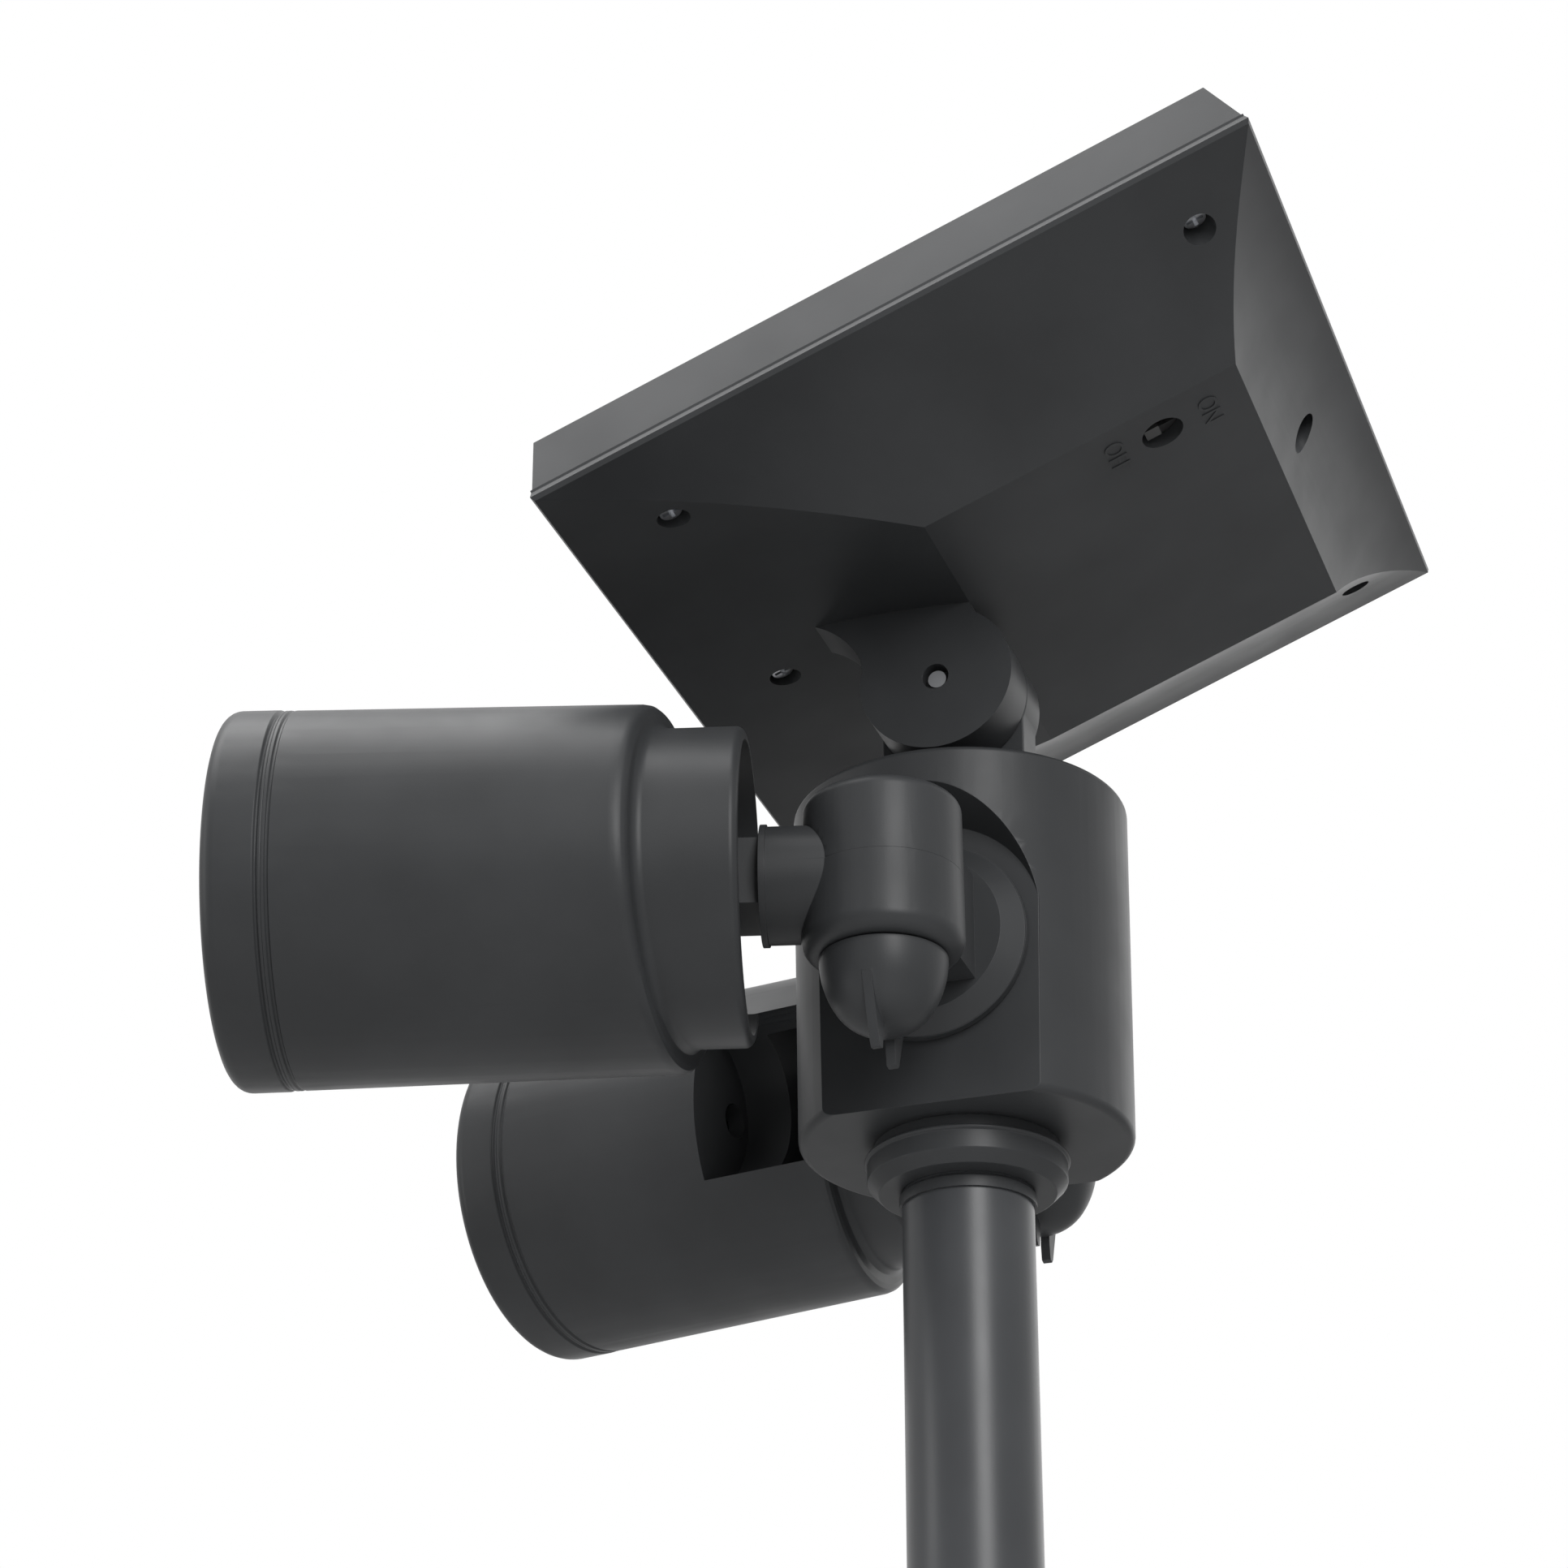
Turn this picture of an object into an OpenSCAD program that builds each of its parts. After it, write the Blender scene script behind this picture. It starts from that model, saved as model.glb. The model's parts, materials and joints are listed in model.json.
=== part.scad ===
/* [Heights] */
// Height of the lamp arm axis above the soil
arm_height = 323; // [240:1:600]
// Depth of the ground spike tip below the soil
spike_depth = 150; // [120:1:220]
// Height of the panel hinge axis above the arm axis
hinge_rise = 46.8; // [46:0.2:52]

/* [Pole] */
// Outside diameter of the pole tube
pole_d = 19; // [17:0.5:20]
// Wall thickness of the pole tube
pole_wall = 1; // [0.8:0.1:2]
// Length of pole pushed into the spike socket
pole_insert = 40; // [30:1:60]
// Diameter of the disc that rests on the soil
soil_disc_d = 54; // [44:1:70]

/* [Hub] */
// Hub diameter at its lower face
hub_d_bottom = 48.6; // [48:0.2:51]
// Hub diameter at its upper face
hub_d_top = 49.8; // [49:0.2:52]
// Hub depth below the arm axis
hub_below = 24.4; // [23:0.2:28]
// Hub height above the arm axis
hub_above = 28.4; // [27:0.2:30]
// Distance from the pole axis to each side flat
flat_x = 18.3; // [18:0.1:19]
// Wall thickness of the hub
hub_wall = 3; // [2.4:0.1:3.4]
// Radius of the arch at the head of each flat
arch_r = 16.9; // [16:0.1:18]

/* [Arms and knuckles] */
// Distance from the pole axis to each knuckle axis
knuckle_x = 40; // [39:0.5:46]
// Knuckle diameter
knuckle_d = 22.5; // [22:0.1:24]
// Knuckle depth below the arm axis
knuckle_below = 11.5; // [11:0.1:13]
// Knuckle height above the arm axis
knuckle_above = 11.9; // [11.5:0.1:14]
// Width of the square arm
arm_square = 16; // [14:0.2:16.4]
// Diameter of the round foot of each arm
arm_foot_d = 30; // [26:0.5:31]
// Diameter of the neck that carries a lamp
neck_d = 16.6; // [14:0.2:17]
// Height of the dome of the clamp knob
knob_h = 11.2; // [10:0.2:14]

/* [Lamps] */
// Outward turn of lamp 1 as pictured
lamp_pan_1 = 14.4; // [8:0.1:24]
// Outward turn of lamp 2 as pictured
lamp_pan_2 = 11.3; // [8:0.1:24]
// Lamp diameter at the bezel seam
lamp_d = 53.2; // [52:0.2:55]
// Lamp diameter behind the shoulder
lamp_tail_d = 44.8; // [44:0.2:46]
// Distance from the knuckle axis to the tail of the lamp
tail_s = 18.5; // [18:0.1:20]
// Distance from the knuckle axis to the bezel seam
seam_s = 82.2; // [80:0.2:95]
// Length of the bezel beyond its seam
bezel_len = 8.6; // [8:0.1:12]
// Width of the side pocket that takes the folded knuckle
pocket_w = 26; // [25:0.1:27]

/* [Panel] */
// Slope of the panel as pictured
panel_tilt = 21.34; // [5:0.1:35]
// Panel width across the rear rim
panel_w = 133.2; // [132:0.5:150]
// Panel length up the slope across the rear rim
panel_l = 113.4; // [113:0.5:125]
// Depth of the panel edge
panel_edge = 11.4; // [11.2:0.1:14]
// Inward slope of the panel edge over its depth
panel_taper = 3.07; // [2:0.1:3.4]
// Height of the rear hump over the rim
hump_d = 13.8; // [13.6:0.1:16]
// Wall thickness of the rear cover
cover_wall = 2.2; // [1.8:0.1:2.4]
// Diameter of the screw recesses in the rear cover
recess_d = 4.8; // [4.6:0.1:5.4]

/* [Switch] */
// Sideways position of the switch on the hump
switch_x = 28.3; // [24:0.1:29]
// Diameter of the switch opening
switch_hole_d = 6.5; // [6:0.1:7]
// Travel of the switch button
switch_travel = 2.6; // [1.6:0.1:2.8]

/* [Hidden] */

$fn = 96;
eps = 0.01;
over = 1;
seat = 0.3;
run = 0.05;

pole_r = pole_d / 2;
hub_bottom = arm_height - hub_below;
hub_top = arm_height + hub_above;
hinge_z = arm_height + hinge_rise;

charcoal = [0.16, 0.165, 0.17];
black_steel = [0.10, 0.10, 0.11];
bright_steel = [0.62, 0.63, 0.65];
seal_black = [0.05, 0.05, 0.05];
board_green = [0.05, 0.25, 0.12];
cell_blue = [0.03, 0.05, 0.14];
clear_glass = [0.75, 0.82, 0.85];

// Points of an arc, used inside turned outlines
function arc(cx, cy, r, a0, a1, n = 7) =
  [for (i = [0 : n]) [cx + r * cos(a0 + (a1 - a0) * i / n), cy + r * sin(a0 + (a1 - a0) * i / n)]];

// ---------------------------------------------------------------- stake

socket_r = pole_r + 4;
socket_top = 22;
socket_floor = 5;
soil_disc_t = 3;
blade_t = 3;
blade_half = 24;
blade_waist = 20;
blade_waist_z = 60;
rib_t = 2.4;
rib_out = 8;

module blade_outline() {
  polygon([[-blade_half, -eps], [-blade_waist, -blade_waist_z], [0, -spike_depth],
    [blade_waist, -blade_waist_z], [blade_half, -eps]]);
}

module ground_spike() color(charcoal) difference() {
  union() {
    rotate_extrude() polygon([[0, -pole_insert - socket_floor],
      [socket_r - 1.5, -pole_insert - socket_floor], [socket_r, -pole_insert],
      [socket_r, socket_top - 3], [socket_r + 1, socket_top - 2.6],
      [socket_r + 1, socket_top - 0.6], [socket_r + 0.4, socket_top], [0, socket_top]]);
    translate([0, 0, -soil_disc_t]) cylinder(r = soil_disc_d / 2, h = soil_disc_t);
    for (turn = [0, 90]) rotate([90, 0, turn])
      linear_extrude(height = blade_t, center = true) blade_outline();
    for (turn = [45, 135]) rotate([90, 0, turn]) linear_extrude(height = rib_t, center = true)
      polygon([[-socket_r - rib_out, -eps], [-socket_r + 1, socket_top - 6],
        [socket_r - 1, socket_top - 6], [socket_r + rib_out, -eps]]);
  }
  translate([0, 0, -pole_insert]) cylinder(r = pole_r, h = pole_insert + socket_top + over);
}

collar_drop = 7.1;
pole_top = arm_height - 11;
ring_h = 2;
ring_r = pole_r + 0.4;
ring_top = hub_bottom - collar_drop - seat;

module pole() color(black_steel) difference() {
  translate([0, 0, -pole_insert]) cylinder(r = pole_r, h = pole_top + pole_insert);
  translate([0, 0, -pole_insert - over])
    cylinder(r = pole_r - pole_wall, h = pole_top + pole_insert + 2 * over);
}

module pole_ring() color(charcoal) difference() {
  rotate_extrude() polygon(concat([[0, ring_top - ring_h], [ring_r, ring_top - ring_h]],
    arc(ring_r - 0.5, ring_top - 0.5, 0.5, 0, 90, 4), [[0, ring_top]]));
  translate([0, 0, ring_top - ring_h - over]) cylinder(r = pole_r, h = ring_h + 2 * over);
}

// ---------------------------------------------------------------- head

arch_rise = 1.7;
arch_flare = 0.68;
cut_reach = 22;
lid_t = 2.5;
lid_r = 22.2;
lid_screw_y = 17;
screw_boss_r = 3.6;
screw_core_r = 1.3;
barrel_r = 7;
tube_r = pole_r + 2;
tube_cap = 2;
cavity_r = hub_d_bottom / 2 - hub_wall;
top_fillet = 1;
bottom_fillet = 1.2;

module flat_cut() {
  translate([flat_x, -hub_d_top, hub_bottom - over])
    cube([cut_reach, 2 * hub_d_top, hub_below + arch_rise + over]);
  translate([flat_x, 0, arm_height + arch_rise]) rotate([0, 90, 0])
    cylinder(r1 = arch_r, r2 = arch_r + arch_flare * cut_reach, h = cut_reach);
}

module hub_outline() {
  rb = hub_d_bottom / 2;
  rt = hub_d_top / 2;
  polygon(concat([[0, hub_bottom]],
    arc(rb - bottom_fillet, hub_bottom + bottom_fillet, bottom_fillet, -90, 0, 5),
    arc(rt - top_fillet, hub_top - top_fillet, top_fillet, 0, 90, 5), [[0, hub_top]]));
}

module hub_body() color(charcoal) difference() {
  rotate_extrude() hub_outline();
  flat_cut();
  mirror([1, 0, 0]) flat_cut();
  difference() {
    intersection() {
      translate([0, 0, hub_bottom + hub_wall]) cylinder(r = cavity_r, h = hub_top - hub_bottom);
      translate([-flat_x + hub_wall, -hub_d_top, hub_bottom])
        cube([2 * (flat_x - hub_wall), 2 * hub_d_top, hub_top - hub_bottom + over]);
    }
    for (way = [-1, 1]) translate([0, way * lid_screw_y, hub_bottom])
      cylinder(r = screw_boss_r, h = hub_top - hub_bottom - lid_t);
  }
  translate([0, 0, hub_top - lid_t]) cylinder(r = lid_r + run, h = lid_t + over);
  translate([0, 0, hub_bottom - over]) cylinder(r = tube_r, h = hub_wall + 2 * over);
  translate([-flat_x - over, 0, arm_height]) rotate([0, 90, 0])
    cylinder(r = barrel_r + run, h = 2 * (flat_x + over));
  for (way = [-1, 1]) translate([0, way * lid_screw_y, hub_top - lid_t - 10])
    cylinder(r = screw_core_r, h = 12, $fn = 32);
}

module pole_socket() color(charcoal) difference() {
  rotate_extrude() polygon([[0, hub_bottom - collar_drop], [pole_r + 3.3, hub_bottom - collar_drop],
    [pole_r + 4.95, hub_bottom - collar_drop + 1.7], [pole_r + 4.95, hub_bottom - 2.7],
    [pole_r + 5.2, hub_bottom - 2.6], [pole_r + 5.4, hub_bottom - 2.3],
    [pole_r + 5.2, hub_bottom - 2.0], [pole_r + 4, hub_bottom - 1.9], [pole_r + 4, hub_bottom],
    [tube_r, hub_bottom], [tube_r, pole_top + tube_cap + seat], [0, pole_top + tube_cap + seat]]);
  translate([0, 0, hub_bottom - collar_drop - over])
    cylinder(r = pole_r + run, h = pole_top + seat - hub_bottom + collar_drop + over);
}

module socket_ring() color(charcoal) difference() {
  translate([0, 0, hub_bottom + hub_wall]) cylinder(r = tube_r + 1.6, h = 3);
  translate([0, 0, hub_bottom + hub_wall - over]) cylinder(r = tube_r, h = 5);
}

tongue_x0 = -4;
tongue_x1 = 3.2;
tongue_half = 11;
ear_r = 11.8;
bolt_r = 1.4;

module tilt_post() color(charcoal) difference() {
  union() {
    translate([0, 0, hub_top - lid_t]) cylinder(r = lid_r, h = lid_t);
    translate([tongue_x0, -tongue_half, hub_top - eps])
      cube([tongue_x1 - tongue_x0, 2 * tongue_half, hinge_z - hub_top]);
    translate([tongue_x0, 0, hinge_z]) rotate([0, 90, 0])
      cylinder(r = ear_r, h = tongue_x1 - tongue_x0);
  }
  translate([tongue_x0 - over, 0, hinge_z]) rotate([0, 90, 0])
    cylinder(r = bolt_r + run, h = tongue_x1 - tongue_x0 + 2 * over, $fn = 48);
  for (way = [-1, 1]) translate([0, way * lid_screw_y, hub_top - lid_t - over])
    cylinder(r = screw_core_r + 0.3, h = lid_t + 2 * over, $fn = 32);
}

module pan_screw(head_r, head_h, core_r, length) {
  difference() {
    cylinder(r1 = head_r, r2 = head_r - 0.5, h = head_h, $fn = 48);
    for (turn = [0, 90]) rotate([0, 0, turn]) translate([-head_r * 0.6, -0.3, head_h - 0.8])
      cube([head_r * 1.2, 0.6, 1]);
  }
  translate([0, 0, -length]) cylinder(r = core_r, h = length + eps, $fn = 32);
}

module lid_screws() color(bright_steel)
  for (way = [-1, 1]) translate([0, way * lid_screw_y, hub_top])
    pan_screw(2.8, 1.8, screw_core_r, 10);

washer_t = 0.8;

module hinge_washer() color(bright_steel)
  translate([tongue_x0 - washer_t, 0, hinge_z]) rotate([0, 90, 0]) difference() {
    cylinder(r = 4, h = washer_t, $fn = 48);
    translate([0, 0, -over]) cylinder(r = bolt_r + run, h = washer_t + 2 * over, $fn = 48);
  }

// ---------------------------------------------------------------- panel
// Panel frame: x across, y up the slope, z towards the sun, zero on the rear rim

hinge_u = -19.5;
hinge_n = -22.75;
plateau_x = 35.3;
plateau_low = -10.1;
plateau_high = 40.6;
side_arc_r = 79.5;
high_arc_r = 36.6;
low_arc_r = 154;
flange_t = 2;
rim_chamfer = 0.35;
plate_t = 1.6;
plate_n = 7.2;
frame_wall = 2.4;
lip = 3.6;
cell_margin = 6;

module on_panel() translate([0, 0, hinge_z]) rotate([panel_tilt, 0, 0])
  translate([0, -hinge_u, -hinge_n]) children();

// Centre of the circle of radius r through two outline points, on their outer side
function arc_centre(p, q, r) = let (m = (p + q) / 2, c = norm(q - p),
  t = (q - p) / c, h = sqrt(r * r - c * c / 4)) m + h * [-t[1], t[0]];

// Slice of the hump: half widths a (low) and b (high) at the rim, plateau from pa to pb
module hump_slice(a, b, pa, pb, ra, rb, inset) {
  ca = arc_centre([pa, -hump_d], [-a, 0], ra);
  cb = arc_centre([b, 0], [pb, -hump_d], rb);
  top = inset > 0 ? flange_t + over : flange_t - eps;
  difference() {
    translate([-a, -hump_d + inset]) square([a + b, hump_d - inset + top]);
    intersection() {
      translate([ca[0], ca[1]]) circle(r = ra + inset, $fn = 180);
      translate([-a - over, -hump_d - over]) square([a + pb, hump_d + over]);
    }
    intersection() {
      translate([cb[0], cb[1]]) circle(r = rb + inset, $fn = 180);
      translate([pa, -hump_d - over]) square([b - pa + over, hump_d + over]);
    }
  }
}

module hump(inset) intersection() {
  rotate([90, 0, 0]) linear_extrude(height = panel_l, center = true)
    hump_slice(panel_w / 2, panel_w / 2, -plateau_x, plateau_x, side_arc_r, side_arc_r, inset);
  rotate([90, 0, 90]) linear_extrude(height = panel_w, center = true)
    hump_slice(panel_l / 2, panel_l / 2, plateau_low, plateau_high, low_arc_r, high_arc_r, inset);
}

// Half width of the edge at height n above the rim
function edge_half(width, n) = width / 2 + rim_chamfer - panel_taper * n / panel_edge;

module edge_slice(width, n0, n1) polygon([[-edge_half(width, n0), n0], [edge_half(width, n0), n0],
  [edge_half(width, n1), n1], [-edge_half(width, n1), n1]]);

module edge_block(n0, n1) intersection() {
  rotate([90, 0, 0]) linear_extrude(height = panel_l + 10, center = true) edge_slice(panel_w, n0, n1);
  rotate([90, 0, 90]) linear_extrude(height = panel_w + 10, center = true)
    edge_slice(panel_l, n0, n1);
}

module rim_slice(width) polygon([[-width / 2, 0], [width / 2, 0], [edge_half(width, 0), rim_chamfer * 2],
  [edge_half(width, flange_t), flange_t], [-edge_half(width, flange_t), flange_t],
  [-edge_half(width, 0), rim_chamfer * 2]]);

module rim_block() intersection() {
  rotate([90, 0, 0]) linear_extrude(height = panel_l + 10, center = true) rim_slice(panel_w);
  rotate([90, 0, 90]) linear_extrude(height = panel_w + 10, center = true) rim_slice(panel_l);
}

screw_high_x = 54.5;
screw_high_u = 44.4;
screw_mid_u = 46.3;
screw_low_x = 51;
screw_low_u = -41.3;
cover_screws = [[-screw_high_x, screw_high_u], [screw_high_x, screw_high_u], [0, screw_mid_u],
  [-screw_low_x, screw_low_u], [screw_low_x, screw_low_u], [0, screw_low_u]];
recess_r = recess_d / 2;
recess_wall = 1.6;
cover_hole_r = 1.6;
post_r = 4;
switch_u = 26.9;
groove_w = 1.2;
groove_d = 0.8;
board_post_u = [23.5, 33.5];
board_post_x = 4;
board_post_r = 2.6;
board_n = -hump_d + 6.2;

module ring_rect(half_x, half_y, width, n0, height) translate([0, 0, n0]) difference() {
  translate([-half_x, -half_y, 0]) cube([2 * half_x, 2 * half_y, height]);
  translate([-half_x + width, -half_y + width, -over])
    cube([2 * (half_x - width), 2 * (half_y - width), height + 2 * over]);
}

groove_x = panel_w / 2 - 1.2;
groove_y = panel_l / 2 - 1.2;

module panel_back() color(charcoal) on_panel() difference() {
  union() {
    difference() {
      union() {
        hump(0);
        rim_block();
      }
      intersection() {
        hump(cover_wall);
        translate([-panel_w / 2 + frame_wall + 2, -panel_l / 2 + frame_wall + 2, -hump_d])
          cube([panel_w - 2 * frame_wall - 4, panel_l - 2 * frame_wall - 4, 2 * hump_d]);
      }
    }
    intersection() {
      hump(0);
      union() {
        for (spot = cover_screws) translate([spot[0], spot[1], -hump_d])
          cylinder(r = recess_r + recess_wall, h = hump_d + flange_t, $fn = 64);
        for (u = board_post_u) translate([board_post_x, u, -hump_d])
          cylinder(r = board_post_r, h = board_n + hump_d, $fn = 48);
      }
    }
  }
  for (spot = cover_screws) translate([spot[0], spot[1], 0]) {
    translate([0, 0, -hump_d - over]) cylinder(r = recess_r, h = hump_d + over, $fn = 64);
    translate([0, 0, -hump_d]) cylinder(r = cover_hole_r, h = 2 * hump_d, $fn = 48);
  }
  for (u = board_post_u) translate([board_post_x, u, board_n - 3])
    cylinder(r = 0.9, h = 4, $fn = 32);
  translate([switch_x, switch_u, -hump_d - over])
    cylinder(r = switch_hole_d / 2, h = cover_wall + 2 * over, $fn = 64);
  ring_rect(groove_x, groove_y, groove_w, flange_t - groove_d, groove_d + over);
}

module panel_gasket() color(seal_black) on_panel()
  ring_rect(groove_x - eps, groove_y - eps, groove_w - 2 * eps, flange_t - groove_d, groove_d);

glass_half_x = panel_w / 2 + rim_chamfer - panel_taper - lip;
glass_half_y = panel_l / 2 + rim_chamfer - panel_taper - lip;

module panel_frame() color(charcoal) on_panel() difference() {
  union() {
    difference() {
      edge_block(flange_t, panel_edge);
      translate([-glass_half_x, -glass_half_y, plate_n + plate_t])
        cube([2 * glass_half_x, 2 * glass_half_y, panel_edge]);
      intersection() {
        translate([0, 0, -over]) cube([2 * panel_w, 2 * panel_l, 2 * (plate_n + over)], center = true);
        rotate([90, 0, 0]) linear_extrude(height = panel_l, center = true)
          edge_slice(panel_w - 2 * frame_wall, -over, panel_edge);
        rotate([90, 0, 90]) linear_extrude(height = panel_w, center = true)
          edge_slice(panel_l - 2 * frame_wall, -over, panel_edge);
      }
    }
    for (spot = cover_screws) translate([spot[0], spot[1], flange_t])
      cylinder(r = post_r, h = plate_n + eps - flange_t, $fn = 64);
  }
  for (spot = cover_screws) translate([spot[0], spot[1], -over])
    cylinder(r = screw_core_r, h = plate_n + over, $fn = 32);
}

screw_len = 6.6;

module panel_screws() color(bright_steel) on_panel()
  for (spot = cover_screws) translate([spot[0], spot[1], 0]) mirror([0, 0, 1])
    pan_screw(2.2, 1.6, screw_core_r, screw_len);

sheet_t = 0.9;
cell_t = 0.2;
sheet_n = plate_n + plate_t;
sheet_half_x = glass_half_x - seat;
sheet_half_y = glass_half_y - seat;
cells_x = 6;
cells_y = 2;
cell_gap = 1.4;

module solar_backsheet() color([0.9, 0.9, 0.9]) on_panel()
  translate([-sheet_half_x, -sheet_half_y, sheet_n])
    cube([2 * sheet_half_x, 2 * sheet_half_y, sheet_t]);

module solar_cells() color(cell_blue) on_panel() {
  step_x = 2 * (sheet_half_x - cell_margin / 2) / cells_x;
  step_y = 2 * (sheet_half_y - cell_margin / 2) / cells_y;
  for (i = [0 : cells_x - 1]) for (j = [0 : cells_y - 1])
    translate([-sheet_half_x + cell_margin / 2 + i * step_x + cell_gap / 2,
      -sheet_half_y + cell_margin / 2 + j * step_y + cell_gap / 2, sheet_n + sheet_t])
      cube([step_x - cell_gap, step_y - cell_gap, cell_t]);
}

module solar_glass() color(clear_glass, 0.5) on_panel()
  translate([-sheet_half_x, -sheet_half_y, sheet_n + sheet_t + cell_t])
    cube([2 * sheet_half_x, 2 * sheet_half_y, panel_edge - sheet_n - sheet_t - cell_t - 0.2]);

cell_r = 9.1;
cell_len = 65;
cell_u = 5;
cell_n = plate_n - seat - cell_r;
holder_wall = 1.5;

module battery() color([0.15, 0.35, 0.6]) on_panel()
  translate([-cell_len / 2, cell_u, cell_n]) rotate([0, 90, 0]) union() {
    cylinder(r = cell_r, h = cell_len - 1.5, $fn = 96);
    translate([0, 0, cell_len - 1.5 - eps]) cylinder(r = 3.2, h = 1.5, $fn = 48);
  }

module battery_holder() color(seal_black) on_panel() difference() {
  union() {
    for (way = [-1, 1]) translate([-cell_len / 2 - seat, cell_u + way * 8.2 - 2, -1.5])
      cube([cell_len + 2 * seat, 4, plate_n + 1.5]);
    for (way = [-1, 1]) translate([way * (cell_len / 2 + seat + holder_wall / 2) - holder_wall / 2,
      cell_u - 8, -6]) cube([holder_wall, 16, plate_n + 6]);
  }
  translate([-cell_len / 2 - seat, cell_u, cell_n]) rotate([0, 90, 0])
    cylinder(r = cell_r + 0.1, h = cell_len + 2 * seat, $fn = 96);
}

board_t = 1.2;
board_x0 = -18;
board_x1 = 36;
board_u0 = 19.5;
board_u1 = 37;

module control_board() color(board_green) on_panel() difference() {
  union() {
    translate([board_x0, board_u0, board_n]) cube([board_x1 - board_x0, board_u1 - board_u0, board_t]);
    translate([-14, 22, board_n + board_t - eps]) cube([8, 6, 1.6]);
    translate([-2, 28, board_n + board_t - eps]) cube([4, 5, 2]);
    translate([12, 24, board_n + board_t - eps]) cylinder(r = 2.5, h = 4, $fn = 48);
  }
  for (u = board_post_u) translate([board_post_x, u, board_n - over])
    cylinder(r = 1.1, h = board_t + 2 * over, $fn = 32);
}

module board_screws() color(bright_steel) on_panel()
  for (u = board_post_u) translate([board_post_x, u, board_n + board_t])
    pan_screw(2, 1.2, 0.9, board_t + 2.5);

switch_half_u = 5.4;
switch_half_x = 3.2;
button_half = 1.15;
slide_h = 1.2;
switch_face = -hump_d + cover_wall + 0.1;

module switch_body() color(seal_black) on_panel() difference() {
  translate([switch_x - switch_half_x, switch_u - switch_half_u, switch_face])
    cube([2 * switch_half_x, 2 * switch_half_u, board_n - switch_face]);
  translate([switch_x - switch_half_x + 0.9, switch_u - switch_half_u + 0.9, switch_face + 0.6])
    cube([2 * switch_half_x - 1.8, 2 * switch_half_u - 1.8, slide_h + 2 * seat]);
  translate([switch_x - button_half - seat, switch_u - switch_travel / 2 - button_half - seat,
    switch_face - over])
    cube([2 * (button_half + seat), 2 * (button_half + seat) + switch_travel, 2 * over]);
}

module switch_slider() color([0.08, 0.08, 0.08]) on_panel()
  translate([switch_x, switch_u - switch_travel / 2, switch_face + 0.6 + seat]) {
    translate([-button_half - 0.8, -button_half - 1, 0])
      cube([2 * (button_half + 0.8), 2 * (button_half + 1), slide_h]);
    translate([-button_half, -button_half, -cover_wall - 0.3])
      cube([2 * button_half, 2 * button_half, cover_wall + 0.3 + eps]);
  }

ear_x0 = 3.5;
ear_x1 = 12;
ear_flare_r = 13;

module ear_outline() difference() {
  translate([hinge_u, hinge_n]) union() {
    circle(r = ear_r, $fn = 96);
    polygon(concat([[9.9, -5], [9.1, 20], [-14.5, 20]],
      arc(-9.2 - ear_flare_r, 8.2, ear_flare_r, 50, 2, 8), [[-10.6, 2.5]]));
  }
  hump_slice(panel_l / 2, panel_l / 2, plateau_low, plateau_high, low_arc_r, high_arc_r, 0);
  translate([-panel_l, -0.5]) square([2 * panel_l, 20]);
}

module tilt_ear() color(charcoal) on_panel() difference() {
  translate([ear_x0, 0, 0]) rotate([90, 0, 90]) linear_extrude(height = ear_x1 - ear_x0) ear_outline();
  translate([ear_x0 - over, hinge_u, hinge_n]) rotate([0, 90, 0])
    cylinder(r = bolt_r, h = ear_x1 - ear_x0 + 2 * over, $fn = 48);
  translate([ear_x1 - 2.5, hinge_u, hinge_n]) rotate([0, 90, 0])
    cylinder(r = 2.05, h = 2.5 + over, $fn = 48);
}

bolt_head_h = 2.4;

module hinge_bolt() color(bright_steel) translate([0, 0, hinge_z]) rotate([panel_tilt, 0, 0])
  translate([tongue_x0 - washer_t - seat, 0, 0]) rotate([0, 90, 0]) {
    cylinder(r = bolt_r, h = ear_x1 - 1 - tongue_x0 + washer_t + seat, $fn = 48);
    rotate([180, 0, 0]) difference() {
      cylinder(r1 = 3.2, r2 = 2.8, h = bolt_head_h, $fn = 48);
      translate([0, 0, bolt_head_h - 1.2]) cylinder(r = 1.4, h = 2, $fn = 6);
    }
  }

// ---------------------------------------------------------------- arms

module left_of(pan) translate([knuckle_x, 0, arm_height]) rotate([0, 0, pan]) children();
module side_1() left_of(lamp_pan_1) children();
module side_2() mirror([1, 0, 0]) left_of(lamp_pan_2) children();

knuckle_r = knuckle_d / 2;
foot_x = flat_x + seat;
foot_t = 1.2;
foot_cone = 2.4;
foot_top_r = 11.9;
barrel_end = flat_x - hub_wall - 3.5;
clip_groove_r = 6.2;
clip_t = 1;
clip_x = flat_x - hub_wall - seat - clip_t;
spindle_r = 8.5;
spindle_low = -9;
spindle_high = 5.2;
web_half = 4.5;
bolt_clear_r = 2.3;

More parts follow.
